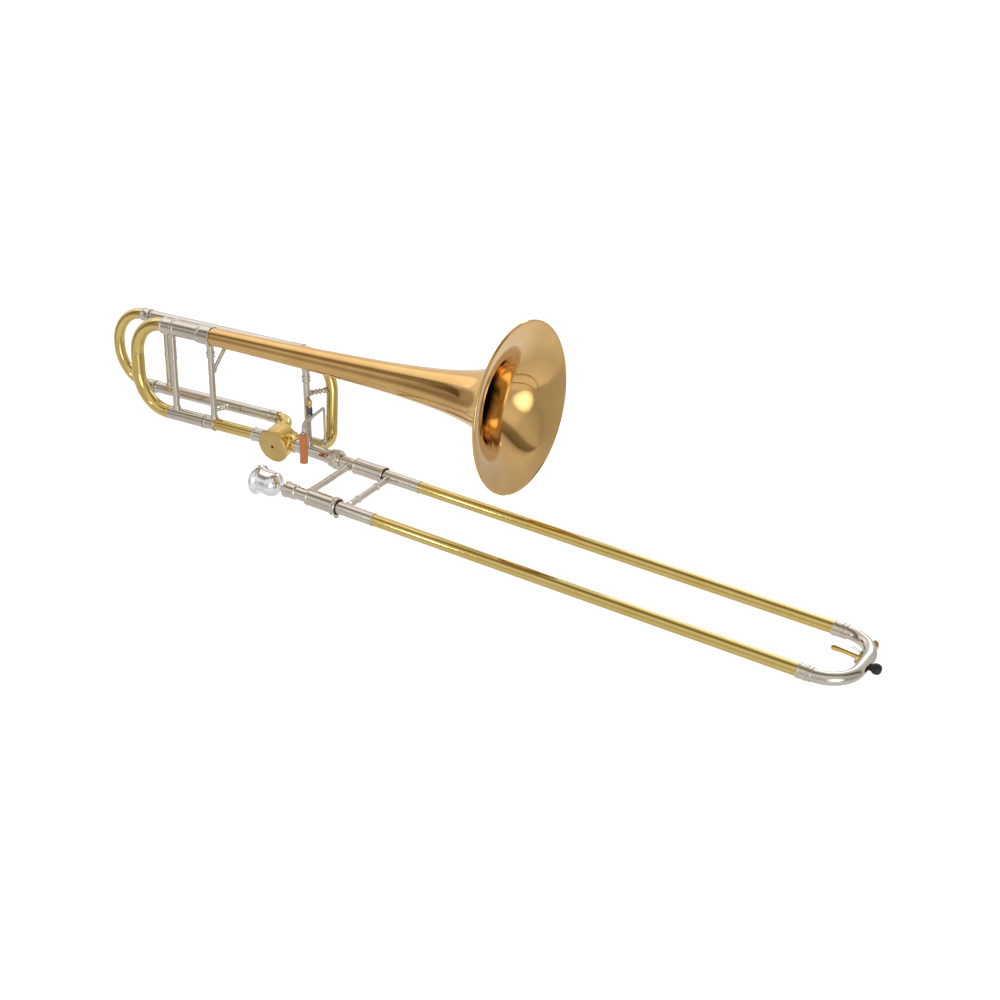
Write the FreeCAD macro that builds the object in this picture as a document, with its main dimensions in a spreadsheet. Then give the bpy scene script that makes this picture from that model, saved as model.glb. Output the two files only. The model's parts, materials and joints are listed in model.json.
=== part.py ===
import FreeCAD, Part

import math
import os

import Sketcher
from FreeCAD import Placement, Rotation, Vector

# Tenor trombone with an F attachment.
# Row frame: +X forward along the bell, +Y to the player's left, +Z up, in millimetres.
# The origin is the middle of the grip post that the left hand holds.
# The bell section lies in the plane y = 0, the F section stands beside it at +Y,
# and the hand slide hangs from its receiver, with its second leg at -Y.

DIMENSIONS = {
    # bell section
    "bell_height": 61.0, "main_leg_radius": 10.0, "rim_along": 327.0, "tail_along": -157.0,
    "bell_wall": 0.8,
    "flare_gain": 672.0, "flare_offset": 14.4, "flare_power": 0.6976, "flare_core": 3.6,
    "bead_radius": 1.9, "main_height": -65.5, "tube_wall": 0.8,
    "neck_radius": 11.3, "neck_back": -221.0, "neck_front": -158.0,
    "inlet_radius": 8.2, "slip": 0.1,
    # tuning slides
    "main_crook_radius": 9.3, "fit": 0.06, "main_bend": 50.0, "main_crook_back": -244.0,
    "main_lower_front": -176.0, "main_inner_back": -236.0, "main_post_along": -228.0,
    "f_side": 36.0, "f_upper_height": 54.6, "f_lower_height": -50.4, "f_tube_radius": 7.7,
    "f_crook_back": -311.0, "f_joint": -296.0, "f_leg_travel": 85.0, "f_post_along": -272.0,
    # valve
    "valve_along": -48.0, "valve_height": -65.5, "valve_tilt": 10.0,
    "casing_radius": 22.3, "casing_bore": 20.7, "casing_front": -13.0, "casing_rear": 12.0,
    "cap_radius": 23.2, "cap_depth": 4.0, "port_radius": 7.3, "port_offset": 8.63,
    "rotor_radius": 20.6, "spindle_radius": 2.8, "elbow_bend": 16.0, "elbow_plane": 38.08,
    "return_bend": 11.0, "return_plane": 26.5, "arm_radius": 15.0, "arm_rest": 22.0,
    "arm_front": 12.5, "arm_depth": 1.5, "link_plane": 15.6, "link_length": 50.7,
    # trigger
    "pin_along": 9.0, "pin_side": -6.0, "pin_radius": 1.5,
    "lever_end_along": 16.6, "lever_end_side": 14.4, "lever_end_low": -59.0,
    "roller_along": 15.5, "roller_side": -30.0, "roller_top": -31.0, "roller_low": -72.0,
    "roller_radius": 5.4,
    # braces
    "post_radius": 4.4, "grip_along": 0.0, "tail_post_along": -161.0,
    # hand slide
    "slide_along": -26.0, "slide_height": -65.5, "slide_pitch": 3.75, "slide_roll": 3.85,
    "slide_gap": 101.0, "receiver_radius": 8.9, "receiver_bore": 7.6, "receiver_end": 70.0,
    "nut_back": 65.0, "nut_front": 81.0, "stem_radius": 8.1, "barrel_back": 106.0,
    "barrel_front": 150.0, "barrel_radius": 10.7, "barrel_bore": 9.9,
    "inner_radius": 7.25, "inner_bore": 6.6, "inner_end": 769.0,
    "outer_radius": 7.75, "outer_bore": 7.34, "outer_back": 132.0, "outer_end": 779.0,
    "sleeve_radius": 8.35, "sleeve_end": 205.0, "hand_brace_along": 158.0,
    "bow_ferrule_back": 770.0, "bow_start": 787.0, "bow_bend": 39.0,
    "inner_brace_along": 97.2,
    # mouthpiece
    "mouth_rim": 20.0, "mouth_radius": 20.0, "shank_front": 91.0, "socket_back": 67.5,
}

doc = FreeCAD.newDocument("Trombone")
sheet = doc.addObject("Spreadsheet::Sheet", "Dims")
sheet.Label = "Dims"
for row, (alias, value) in enumerate(DIMENSIONS.items(), start=1):
    sheet.set(f"A{row}", alias)
    sheet.set(f"B{row}", str(value))
    sheet.setAlias(f"B{row}", alias)
doc.recompute()


class Size:
    """A size from the sheet, or one worked out from such sizes: its value and its expression."""

    def __init__(self, value, text):
        self.value, self.text = float(value), text

    def __add__(self, other):
        return Size(self.value + number(other), f"({self.text} + {words(other)})")

    def __radd__(self, other):
        return Size(number(other) + self.value, f"({words(other)} + {self.text})")

    def __sub__(self, other):
        return Size(self.value - number(other), f"({self.text} - {words(other)})")

    def __rsub__(self, other):
        return Size(number(other) - self.value, f"({words(other)} - {self.text})")

    def __mul__(self, other):
        return Size(self.value * number(other), f"({self.text} * {words(other)})")

    __rmul__ = __mul__

    def __truediv__(self, other):
        return Size(self.value / number(other), f"({self.text} / {words(other)})")

    def __neg__(self):
        return Size(-self.value, f"(0 - {self.text})")


def number(value):
    return value.value if isinstance(value, Size) else float(value)


def words(value):
    return value.text if isinstance(value, Size) else repr(float(value))


class Dims:
    """D.bell_height and so on: each cell of the sheet as a Size."""

    def __getattr__(self, alias):
        return Size(sheet.get(alias), f"Dims.{alias}")


D = Dims()
SUB_PARTS = []
ALONG, SIDEWAYS, UPRIGHT = "YZ_Plane", "XZ_Plane", "XY_Plane"
TURN_X_TO_Z = Rotation(Vector(0, 1, 0), -90)
TURN_X_TO_Y = Rotation(Vector(0, 0, 1), 90)


# ---------------------------------------------------------------- frames of the assembly
def axis_frame(along, side, height, rotation=None):
    return Placement(Vector(number(along), number(side), number(height)), rotation or Rotation())


ROW = Placement()
BELL = axis_frame(0, 0, D.bell_height)
MAIN = axis_frame(0, 0, D.main_height)
F_UPPER = axis_frame(0, D.f_side, D.f_upper_height)
F_LOWER = axis_frame(0, D.f_side, D.f_lower_height)
# Valve frame: z runs backwards along the rotor, x stays the row's X, -y is up across the rotor.
VALVE = axis_frame(D.valve_along, 0, D.valve_height,
                   Rotation(Vector(1, 0, 0), -90 + number(D.valve_tilt)))
# Slide frame: x runs down the slide, y towards the bell's leg, z out of the slide's plane.
SLIDE = axis_frame(D.slide_along, 0, D.slide_height,
                   Rotation(Vector(0, 1, 0), number(D.slide_pitch))
                   * Rotation(Vector(1, 0, 0), number(D.slide_roll)))
NEAR_LEG = SLIDE * axis_frame(0, -D.slide_gap, 0)


# ---------------------------------------------------------------- drawing helpers
def origin_plane(body, role):
    return next(f for f in body.Origin.OriginFeatures if f.Role == role)


def new_body(label, frame):
    body = doc.addObject("PartDesign::Body", label)
    body.Label = label
    body.Placement = frame
    return body


def new_sketch(body, name, role, shift=None):
    sketch = body.newObject("Sketcher::SketchObject", name)
    sketch.AttachmentSupport = (origin_plane(body, role), "")
    sketch.MapMode = "FlatFace"
    if shift is not None:
        sketch.AttachmentOffset = Placement(Vector(0, 0, number(shift)), Rotation())
        sketch.setExpression("AttachmentOffset.Base.z", words(shift))
    return sketch


def bind(sketch, constraint, value, name):
    """Add a dimension to the sketch that follows an expression."""
    index = sketch.addConstraint(constraint)
    sketch.renameConstraint(index, name)
    if isinstance(value, Size):
        sketch.setExpression(f"Constraints.{name}", value.text)


def pin(sketch, edge, end, x, y, name):
    """Hold one end of an edge at (x, y) from the sketch's origin."""
    for kind, other_axis, value in (("DistanceX", -2, x), ("DistanceY", -1, y)):
        if number(value) == 0:
            sketch.addConstraint(Sketcher.Constraint("PointOnObject", edge, end, other_axis))
        elif number(value) > 0:
            bind(sketch, Sketcher.Constraint(kind, -1, 1, edge, end, number(value)), value,
                 name + kind[-1])
        else:
            bind(sketch, Sketcher.Constraint(kind, edge, end, -1, 1, -number(value)),
                 -value if isinstance(value, Size) else -value, name + kind[-1])


def outline(sketch, corners):
    """A closed outline of straight edges through the corners, each an (x, y) pair."""
    points = [Vector(number(x), number(y), 0) for x, y in corners]
    edges = [sketch.addGeometry(Part.LineSegment(a, b), False)
             for a, b in zip(points, points[1:] + points[:1])]
    for edge, after in zip(edges, edges[1:] + edges[:1]):
        sketch.addConstraint(Sketcher.Constraint("Coincident", edge, 2, after, 1))
    for count, (edge, (x, y)) in enumerate(zip(edges, corners)):
        pin(sketch, edge, 1, x, y, f"c{count}")


def disc(sketch, radius, x=0, y=0, name="d"):
    circle = sketch.addGeometry(Part.Circle(Vector(number(x), number(y), 0), Vector(0, 0, 1),
                                            number(radius)), False)
    pin(sketch, circle, 3, x, y, name)
    bind(sketch, Sketcher.Constraint("Radius", circle, number(radius)), radius, name + "R")


def follow(feature, prop, value):
    """Set a feature's length or angle, and tie it to the sheet."""
    setattr(feature, prop, number(value))
    if isinstance(value, Size):
        feature.setExpression(prop, value.text)


def keep(part, label):
    part.Label = label
    SUB_PARTS.append(part)
    return part


# ---------------------------------------------------------------- kinds of sub-part
def turned(label, frame, corners):
    """A piece turned about its own x axis, from (along, radius) corners."""
    return keep(turned_body(label, frame, [corners]), label)


def turned_body(label, frame, rings):
    body = new_body(label, frame)
    for count, ring in enumerate(rings):
        sketch = new_sketch(body, f"{label}_outline{count}", SIDEWAYS)
        outline(sketch, ring)
        turn = body.newObject("PartDesign::Revolution", f"{label}_turn{count}")
        turn.Profile = sketch
        turn.ReferenceAxis = (sketch, ["H_Axis"])
        turn.Angle = 360
    return body


def pair(label, name, corners):
    """The same turned piece on both legs of the hand slide."""
    legs = [turned_body(f"{name}_{leg}", frame, [corners])
            for leg, frame in (("far", SLIDE), ("near", NEAR_LEG))]
    return keep(joined(label, legs), label)


def tube_corners(start, end, radius, bore):
    return [(start, bore), (end, bore), (end, radius), (start, radius)]


def tube(label, frame, start, end, radius, bore):
    return turned(label, frame, tube_corners(start, end, radius, bore))


def ferrule_corners(start, end, radius, bore, bead=0.55, bead_length=2.2):
    """A sleeve with a raised bead at each end."""
    top = radius + bead
    return [(start, bore), (end, bore), (end, radius + 0.25), (end - 0.5, top),
            (end - bead_length, top), (end - bead_length - 0.4, radius),
            (start + bead_length + 0.4, radius), (start + bead_length, top), (start + 0.5, top),
            (start, radius + 0.25)]


def bow(label, frame, start, gap, bend, radius, bore, way, lead, back=None, back_bend=None):
    """A bow tube in its frame's xy plane.

    It leaves (start, 0) along x, goes straight for the lead, turns through two bends and comes
    back at y = gap. The way is 1 or -1 along x; back and back_bend set the second leg apart."""
    back = start if back is None else back
    back_bend = bend if back_bend is None else back_bend
    side = 1 if number(gap) > 0 else -1
    turn_x = start + lead * way
    far_x = turn_x + bend * way
    back_x = far_x - back_bend * way
    body = new_body(label, frame)
    path = new_sketch(body, f"{label}_path", UPRIGHT)
    points = [(start, 0), (turn_x, 0), (far_x, bend * side), (far_x, gap - back_bend * side),
              (back_x, gap), (back, gap)]
    spots = [Vector(number(x), number(y), 0) for x, y in points]
    half = math.sqrt(0.5)
    first = Vector(way * half, -side * half, 0) * number(bend)
    second = Vector(way * half, side * half, 0) * number(back_bend)
    centres = [spots[1] + Vector(0, side * number(bend), 0),
               spots[4] - Vector(0, side * number(back_bend), 0)]
    path.addGeometry(Part.LineSegment(spots[0], spots[1]), False)
    path.addGeometry(Part.Arc(spots[1], centres[0] + first, spots[2]), False)
    path.addGeometry(Part.LineSegment(spots[2], spots[3]), False)
    path.addGeometry(Part.Arc(spots[3], centres[1] + second, spots[4]), False)
    path.addGeometry(Part.LineSegment(spots[4], spots[5]), False)
    for arc, size in ((1, bend), (3, back_bend)):
        join_arc(path, arc, size)
    pin(path, 0, 1, *points[0], "start")
    pin(path, 0, 2, *points[1], "lead")
    pin(path, 4, 2, *points[5], "back")
    sweep_tube(body, path, label, ALONG, start, radius, bore)
    return keep(body, label)


def join_arc(path, arc, size):
    """Make an arc run smoothly into the lines before and after it."""
    before = path.getPoint(arc - 1, 2)
    near, far = (1, 2) if (path.getPoint(arc, 1) - before).Length < 1e-6 else (2, 1)
    path.addConstraint(Sketcher.Constraint("Tangent", arc - 1, 2, arc, near))
    path.addConstraint(Sketcher.Constraint("Tangent", arc, far, arc + 1, 1))
    bind(path, Sketcher.Constraint("Radius", arc, number(size)), size, f"bend{arc}")


def sweep_tube(body, path, label, plane, shift, radius, bore):
    for kind, size in (("AdditivePipe", radius), ("SubtractivePipe", bore)):
        ring = new_sketch(body, f"{label}_{kind}_ring", plane, shift=shift)
        disc(ring, size)
        pipe = body.newObject(f"PartDesign::{kind}", f"{label}_{kind}")
        pipe.Profile = ring
        pipe.Spine = path


def cylinder(name, radius, length, frame):
    part = doc.addObject("Part::Cylinder", name)
    follow(part, "Radius", radius)
    follow(part, "Height", length)
    part.Placement = frame
    return part


def box(name, size, frame):
    part = doc.addObject("Part::Box", name)
    for prop, value in zip(("Length", "Width", "Height"), size):
        follow(part, prop, value)
    part.Placement = frame
    return part


def fused(name, parts):
    part = doc.addObject("Part::MultiFuse", name)
    part.Shapes = parts
    return part


def joined(name, parts):
    """Separate solids kept together as one sub-part."""
    part = doc.addObject("Part::Compound", name)
    part.Links = parts
    return part


def cut(name, base, tools):
    part = doc.addObject("Part::Cut", name)
    part.Base = base
    part.Tool = tools[0] if len(tools) == 1 else fused(name + "_tools", tools)
    return part


def between(start, end):
    """A placement at start whose z axis points to end."""
    way = Vector(end) - Vector(start)
    return Placement(Vector(start), Rotation(Vector(0, 0, 1), way)), way.Length


def rod(name, radius, start, end):
    frame, length = between(start, end)
    return cylinder(name, radius, length, frame)


def ball(name, radius, spot):
    part = doc.addObject("Part::Sphere", name)
    follow(part, "Radius", radius)
    part.Placement = Placement(spot, Rotation())
    return part


def at(frame, x, y=0, z=0):
    return frame.multVec(Vector(number(x), number(y), number(z)))


def axis_rod(name, radius, frame, start, end):
    """A cylinder along the frame's x axis, from start to end."""
    return cylinder(name, radius, end - start,
                    frame * Placement(Vector(number(start), 0, 0), Rotation(Vector(0, 1, 0), 90)))


def brace(label, start, end, corners, saddles):
    """A turned post from start to end, hollowed at its ends to sit on the tubes it joins.

    The corners are (share of the length, radius) pairs; the saddles are (radius, frame) pairs."""
    way = Vector(end) - Vector(start)
    frame = Placement(Vector(start), Rotation(Vector(1, 0, 0), way))
    length = way.Length
    ring = [(0, 0), (length, 0)] + [(length * share, radius) for share, radius in reversed(corners)]
    body = turned_body(f"{label}_post", frame, [ring])
    tools = [axis_rod(f"{label}_saddle{count}", radius, place, -420, 420)
             for count, (radius, place) in enumerate(saddles)]
    return cut(label, body, tools)


# ---------------------------------------------------------------- bell
def flare_radius(along):
    """Outside radius of the bell at a distance along the row's X."""
    gap = number(D.rim_along) - along + number(D.flare_offset)
    return number(D.flare_core) + number(D.flare_gain) * gap ** -number(D.flare_power)


def flare_curve(inset):
    """The flare as a smooth curve, closer together towards the rim."""
    tail, rim, steps = number(D.tail_along), number(D.rim_along) - 0.35, 30
    points = []
    for step in range(steps + 1):
        share = 1 - (1 - step / steps) ** 2.2
        along = tail + (rim - tail) * share
        slope = (flare_radius(along + 0.5) - flare_radius(along - 0.5))
        normal = Vector(slope, 0, -1).normalize()
        points.append(Vector(along, 0, flare_radius(along)) + normal * inset)
    curve = Part.BSplineCurve()
    curve.interpolate(points)
    return curve.toShape(), points[0], points[-1]


def make_bell():
    outside, tail_out, rim_out = flare_curve(0.0)
    inside, tail_in, rim_in = flare_curve(number(D.bell_wall))
    skin = Part.Face(Part.Wire([outside, Part.makeLine(rim_out, rim_in), inside.reversed(),
                                Part.makeLine(tail_in, tail_out)]))
    axis = (Vector(0, 0, 0), Vector(1, 0, 0))
    bell = skin.revolve(*axis, 360)
    bead_centre = (rim_out + rim_in) * 0.5 + Vector(-0.7, 0, -0.1)
    bead = Part.Face(Part.Wire(Part.makeCircle(number(D.bead_radius), bead_centre, Vector(0, 1, 0))))
    part = doc.addObject("Part::Feature", "bell")
    part.Shape = Part.Solid(bell.fuse(bead.revolve(*axis, 360)).removeSplitter().Solids[0])
    part.Placement = BELL
    return keep(part, "bell")


def make_bell_section():
    slip, wall = D.slip, D.tube_wall
    make_bell()
    turned("bell_ferrule", BELL, [
        (D.neck_front - 20, D.neck_radius + slip / 2), (D.neck_front, D.neck_radius + slip / 2),
        (D.neck_front, 12.62), (D.tail_along + 3, 12.72), (D.tail_along + 3, 13.1),
        (D.tail_along + 2.4, 13.5), (D.tail_along - 14, 13.2), (D.tail_along - 17, 12.4),
        (D.tail_along - 18.4, 12.9), (D.tail_along - 20.6, 12.9), (D.neck_front - 20, 12.5)])
    turned("neck_tube", BELL, [
        (D.neck_back, D.main_leg_radius + D.fit), (D.neck_front, D.main_leg_radius + D.fit),
        (D.neck_front, D.neck_radius), (D.neck_back + 3, D.neck_radius),
        (D.neck_back + 2.6, D.neck_radius + 0.45), (D.neck_back, D.neck_radius + 0.45)])
    lower_end = D.main_lower_front + 0.6
    turned("inlet_rear_ferrule", MAIN, ferrule_corners(lower_end, lower_end + 18, 9.25,
                                                       D.inlet_radius + slip))
    tube("main_inner_leg", MAIN, D.main_inner_back, lower_end + 7, D.inlet_radius,
         D.inlet_radius - wall)
    tube("valve_inlet_tube", MAIN, lower_end + 7.1, D.valve_along - 36, D.inlet_radius,
         D.inlet_radius - wall)
    turned("inlet_front_ferrule", MAIN, ferrule_corners(D.valve_along - 44, D.valve_along - 27, 9.2,
                                                        D.inlet_radius + slip))


# ---------------------------------------------------------------- valve
def make_casing():
    """The drum, its inlet stub at the rear of the instrument and the boss for the slide receiver."""
    depth = D.casing_rear - D.casing_front
    base = Placement(Vector(0, 0, number(D.casing_front)), Rotation())
    slide = VALVE.inverse() * SLIDE
    drum = cylinder("casing_drum", D.casing_radius, depth, base)
    stub = axis_rod("casing_stub", D.inlet_radius, ROW, -35.9, 0)
    boss = axis_rod("casing_boss", 10.4, slide, -10, 6.4)
    shaped = cut("casing_shape", fused("casing_blank", [drum, stub, boss]), [
        cylinder("casing_hollow", D.casing_bore, depth, base),
        axis_rod("casing_ports", D.port_radius, ROW, -40, 30),
        axis_rod("casing_socket", D.receiver_radius + 0.02, slide, -0.3, 8)])
    shaped.Placement = VALVE
    return keep(shaped, "valve_casing")


def make_valve():
    z_axis = Placement(Vector(), TURN_X_TO_Z)
    turned("valve_cap", VALVE * z_axis, [
        (D.casing_front - D.cap_depth, 2.2), (D.casing_front - 0.15, 2.2),
        (D.casing_front - 0.15, D.cap_radius), (D.casing_front - D.cap_depth + 0.9, D.cap_radius),
        (D.casing_front - D.cap_depth, D.cap_radius - 0.9)])
    turned("front_bearing_plate", VALVE * z_axis, [
        (D.casing_front + 0.2, D.spindle_radius + 0.06), (D.casing_front + 3.0, D.spindle_radius + 0.06),
        (D.casing_front + 3.0, D.casing_bore - 0.1), (D.casing_front + 0.2, D.casing_bore - 0.1)])
    make_rear_plate()
    make_rotor()
    make_casing()


def port_centres():
    return (-D.port_offset, -D.port_offset), (D.port_offset, D.port_offset)


def make_rear_plate():
    body = new_body("rear_bearing_plate", VALVE)
    face = new_sketch(body, "plate_face", UPRIGHT, shift=D.casing_rear - 3.2)
    disc(face, D.casing_bore - 0.1)
    pad = body.newObject("PartDesign::Pad", "plate_pad")
    pad.Profile = face
    pad.Length = 3.2
    holes = new_sketch(body, "plate_holes", UPRIGHT, shift=D.casing_rear - 3.2)
    disc(holes, D.spindle_radius + 0.06, name="spindle")
    for count, (x, y) in enumerate(port_centres()):
        disc(holes, D.f_tube_radius + 0.1, x, y, name=f"port{count}")
    drill = body.newObject("PartDesign::Pocket", "plate_drill")
    drill.Profile = holes
    drill.Reversed = True
    drill.Length = 3.2
    return keep(body, "rear_bearing_plate")


def make_rotor():
    """Rotor with one straight passage for the open side, and a slanting one for the F side."""
    front, rear = D.casing_front + 3.3, D.casing_rear - 3.5
    start = Placement(Vector(0, 0, number(front)), Rotation())
    drum = cylinder("rotor_drum", D.rotor_radius, rear - front, start)
    spindle = cylinder("rotor_spindle", D.spindle_radius, D.arm_front + 1.2 - D.casing_front,
                       Placement(Vector(0, 0, number(D.casing_front) + 0.8), Rotation()))
    straight = rod("rotor_passage", D.port_radius - 0.6, Vector(-25, 0, 0), Vector(25, 0, 0))
    low = rod("rotor_low_passage", 5.5, Vector(0, -26, 0), Vector(0, -13.6, 0))
    high = rod("rotor_high_passage", 5.5, Vector(0, 13.6, 0), Vector(0, 26, 0))
    rotor = cut("rotor", fused("rotor_blank", [drum, spindle]), [straight, low, high])
    rotor.Placement = VALVE
    return keep(rotor, "rotor")


def make_stop_arm():
    """The arm on the rotor's spindle, with the pin that the link rod turns on."""
    angle = math.radians(number(D.arm_rest))
    pin_at = Vector(number(D.arm_radius) * math.cos(angle), -number(D.arm_radius) * math.sin(angle),
                    number(D.arm_front))
    base = Placement(Vector(0, 0, number(D.arm_front)), Rotation())
    spoke = base * Placement(Vector(), Rotation(Vector(0, 0, 1), -number(D.arm_rest)))
    hub = cylinder("arm_hub", 4.2, D.arm_depth, base)
    reach = box("arm_reach", (D.arm_radius, 3.2, D.arm_depth),
                spoke * Placement(Vector(0, -1.6, 0), Rotation()))
    boss = cylinder("arm_boss", 2.4, D.arm_depth, Placement(pin_at, Rotation()))
    stem = cylinder("arm_pin", 1.3, 5.4, Placement(pin_at, Rotation()))
    head = cylinder("arm_pin_head", 2.6, 1.2, Placement(pin_at + Vector(0, 0, 4.8), Rotation()))
    bore = cylinder("arm_bore", D.spindle_radius + 0.02, 20, Placement(Vector(0, 0, 8), Rotation()))
    arm = cut("stop_arm", fused("arm_blank", [hub, reach, boss, stem, head]), [bore])
    arm.Placement = VALVE
    keep(arm, "stop_arm")
    return Vector(pin_at.x, pin_at.y, number(D.link_plane))


def make_link(middle):
    """The rod from the stop arm to the thumb lever: an eye at each end."""
    far = middle + Vector(number(D.link_length), 0, 0)
    near_eye = cylinder("link_eye", 3.2, 2.6, Placement(middle + Vector(0, 0, -1.3), Rotation()))
    near_hole = cylinder("link_eye_hole", 1.36, 6, Placement(middle + Vector(0, 0, -3), Rotation()))
    shank = rod("link_shank", 1.2, middle + Vector(2.4, 0, 0), far + Vector(-3.6, 0, 0))
    far_eye = rod("link_far_eye", 4.5, far + Vector(0, -1.4, 0), far + Vector(0, 1.4, 0))
    far_hole = rod("link_far_hole", 3.7, far + Vector(0, -4, 0), far + Vector(0, 4, 0))
    link = cut("link_rod", fused("link_blank", [near_eye, shank, far_eye]), [near_hole, far_hole])
    link.Placement = VALVE
    keep(link, "link_rod")


def make_valve_tubes():
    """The bend from the F section's lower leg, and the small return bend of the front crook."""
    inner = D.f_tube_radius - D.tube_wall
    end_z = D.casing_rear - 3.1
    quarter_bend("rear_elbow", -D.port_offset, -D.port_offset, end_z, D.elbow_plane, D.elbow_bend,
                 -1, D.f_tube_radius, inner, 10.0)
    quarter_bend("return_elbow", D.port_offset, D.port_offset, end_z, D.return_plane, D.return_bend,
                 1, D.f_tube_radius, inner, 0.5)


def quarter_bend(label, x, y, start, plane, bend, way, radius, bore, tail):
    """A tube that rises from the valve's rear plate and bends to run along the row's X."""
    frame = VALVE * Placement(Vector(number(x), number(y), 0), Rotation(Vector(1, 0, 0), 90))
    body = new_body(label, frame)
    path = new_sketch(body, f"{label}_path", UPRIGHT)
    rise, top, across = number(plane - bend), number(plane), number(bend)
    corner = Vector(way * across, rise, 0)
    middle = corner + Vector(-way * across, across, 0) * math.sqrt(0.5)
    path.addGeometry(Part.LineSegment(Vector(0, number(start), 0), Vector(0, rise, 0)), False)
    path.addGeometry(Part.Arc(Vector(0, rise, 0), middle, Vector(way * across, top, 0)), False)
    path.addGeometry(Part.LineSegment(Vector(way * across, top, 0),
                                      Vector(way * (across + tail), top, 0)), False)
    join_arc(path, 1, bend)
    pin(path, 0, 1, 0, start, "start")
    pin(path, 0, 2, 0, plane - bend, "rise")
    pin(path, 2, 2, bend * way + tail * way, plane, "end")
    sweep_tube(body, path, label, SIDEWAYS, -start, radius, bore)
    return keep(body, label)


# ---------------------------------------------------------------- tuning slides and F section
DOWN = Rotation(Vector(1, 0, 0), -90)


def make_main_slide():
    """The main tuning slide: it pulls out to the rear of the bell section."""
    seat = D.main_crook_back + 4.0
    bow("main_crook", BELL * Placement(Vector(), DOWN), seat - 0.1,
        D.bell_height - D.main_height, D.main_bend, D.main_crook_radius,
        D.main_crook_radius - D.tube_wall, -1, D.main_bend * 0.08)
    turned("main_slide_ferrule", BELL, [
        (seat - 3.6, D.main_crook_radius + 0.02), (seat, D.main_crook_radius + 0.02),
        (seat, D.main_leg_radius + 0.02), (D.neck_back - 0.8, D.main_leg_radius + 0.02),
        (D.neck_back - 0.8, 11.3), (D.neck_back - 1.4, 11.6), (D.neck_back - 3.4, 11.6),
        (D.neck_back - 4, 11.0), (seat + 1, 11.0), (seat + 0.4, 11.5), (seat - 1.6, 11.5),
        (seat - 2.2, 10.6), (seat - 3.6, 10.2)])
    tube("main_upper_leg", BELL, seat, D.neck_front - 2, D.main_leg_radius,
         D.main_leg_radius - D.tube_wall)
    bore = D.inlet_radius + D.fit
    turned("main_lower_leg", MAIN, [
        (seat, bore), (D.main_lower_front, bore), (D.main_lower_front, D.main_crook_radius + 0.5),
        (D.main_lower_front - 3.2, D.main_crook_radius + 0.5),
        (D.main_lower_front - 3.6, D.main_crook_radius), (seat, D.main_crook_radius)])
    top, low = at(BELL, D.main_post_along), at(MAIN, D.main_post_along)
    post = brace("main_slide_brace", top, low, [
        (0, 5.6), (0.13, 5.6), (0.14, 5.0), (0.36, 5.0), (0.365, 5.5), (0.39, 5.5), (0.395, 4.6),
        (0.9, 4.6), (0.91, 5.6), (1, 5.6)],
        [(11.65, BELL), (D.main_crook_radius + 0.02, MAIN)])
    keep(post, "main_slide_brace")


def make_f_section():
    """The two long F tubes, the front crook to the valve and the F tuning slide."""
    leg_bore = D.f_tube_radius - 0.2
    leg = leg_bore - D.fit
    upper_end = at(VALVE, D.port_offset, D.port_offset, D.return_plane)
    turned("f_upper_tube", F_UPPER, [
        (D.f_joint + 1.2, leg_bore), (-40.5, leg_bore), (-40.5, D.f_tube_radius + 0.05),
        (-31, D.f_tube_radius + 0.05), (-31, 8.6), (-31.6, 9.1), (-33.4, 9.1), (-34, 8.7),
        (-46, 8.7), (-46.4, 9.1), (-48.2, 9.1), (-48.8, 8.3), (D.f_joint + 3.4, 8.3),
        (D.f_joint + 3, 8.7), (D.f_joint + 1.2, 8.7)])
    turned("f_lower_tube", F_LOWER, [
        (D.f_joint + 1.2, leg_bore), (-84, leg_bore), (-84, D.f_tube_radius + 0.05),
        (-77, D.f_tube_radius + 0.05), (-77, 8.6), (-77.6, 9.1), (-79.4, 9.1), (-80, 8.7),
        (-89, 8.7), (-89.4, 9.1), (-91.2, 9.1), (-91.8, 8.2), (D.f_joint + 3.4, 8.2),
        (D.f_joint + 3, 8.7), (D.f_joint + 1.2, 8.7)])
    drop = upper_end - F_UPPER.Base
    gap = math.hypot(drop.y, drop.z)
    tilted = F_UPPER * Placement(Vector(), Rotation(Vector(1, 0, 0), math.degrees(
        math.atan2(drop.z, drop.y))))
    back = number(D.valve_along + D.port_offset + D.return_bend) + 0.6
    bow("front_crook", tilted, -40.0, gap, 48.0, D.f_tube_radius, D.f_tube_radius - D.tube_wall, 1,
        9.0, back, 21.0)
    make_f_slide(leg)
    post = brace("f_leg_brace", at(F_UPPER, D.f_post_along), at(F_LOWER, D.f_post_along), [
        (0, 5.0), (0.1, 5.0), (0.105, 3.9), (0.47, 3.9), (0.475, 4.5), (0.525, 4.5), (0.53, 3.9),
        (0.895, 3.9), (0.9, 5.0), (1, 5.0)], [(8.32, F_UPPER), (8.22, F_LOWER)])
    keep(post, "f_leg_brace")


def make_f_slide(leg):
    """The F tuning slide: crook, two ferrules and two inner legs."""
    height = D.f_upper_height - D.f_lower_height
    bow("f_crook", F_UPPER * Placement(Vector(), DOWN), D.f_joint - 5, height, 51.0,
        D.f_tube_radius, D.f_tube_radius - D.tube_wall, -1, 10.0)
    rings, legs = [], []
    for name, frame in (("upper", F_UPPER), ("lower", F_LOWER)):
        rings.append(turned_body(f"f_ferrule_{name}", frame, [ferrule_corners(
            D.f_crook_back, D.f_joint, 8.9, D.f_tube_radius + 0.02)]))
        legs.append(turned_body(f"f_leg_{name}", frame, [tube_corners(
            D.f_joint - 4.9, D.f_joint + D.f_leg_travel, leg, leg - 0.6)]))
    keep(joined("f_slide_ferrules", rings), "f_slide_ferrules")
    keep(joined("f_slide_legs", legs), "f_slide_legs")


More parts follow.
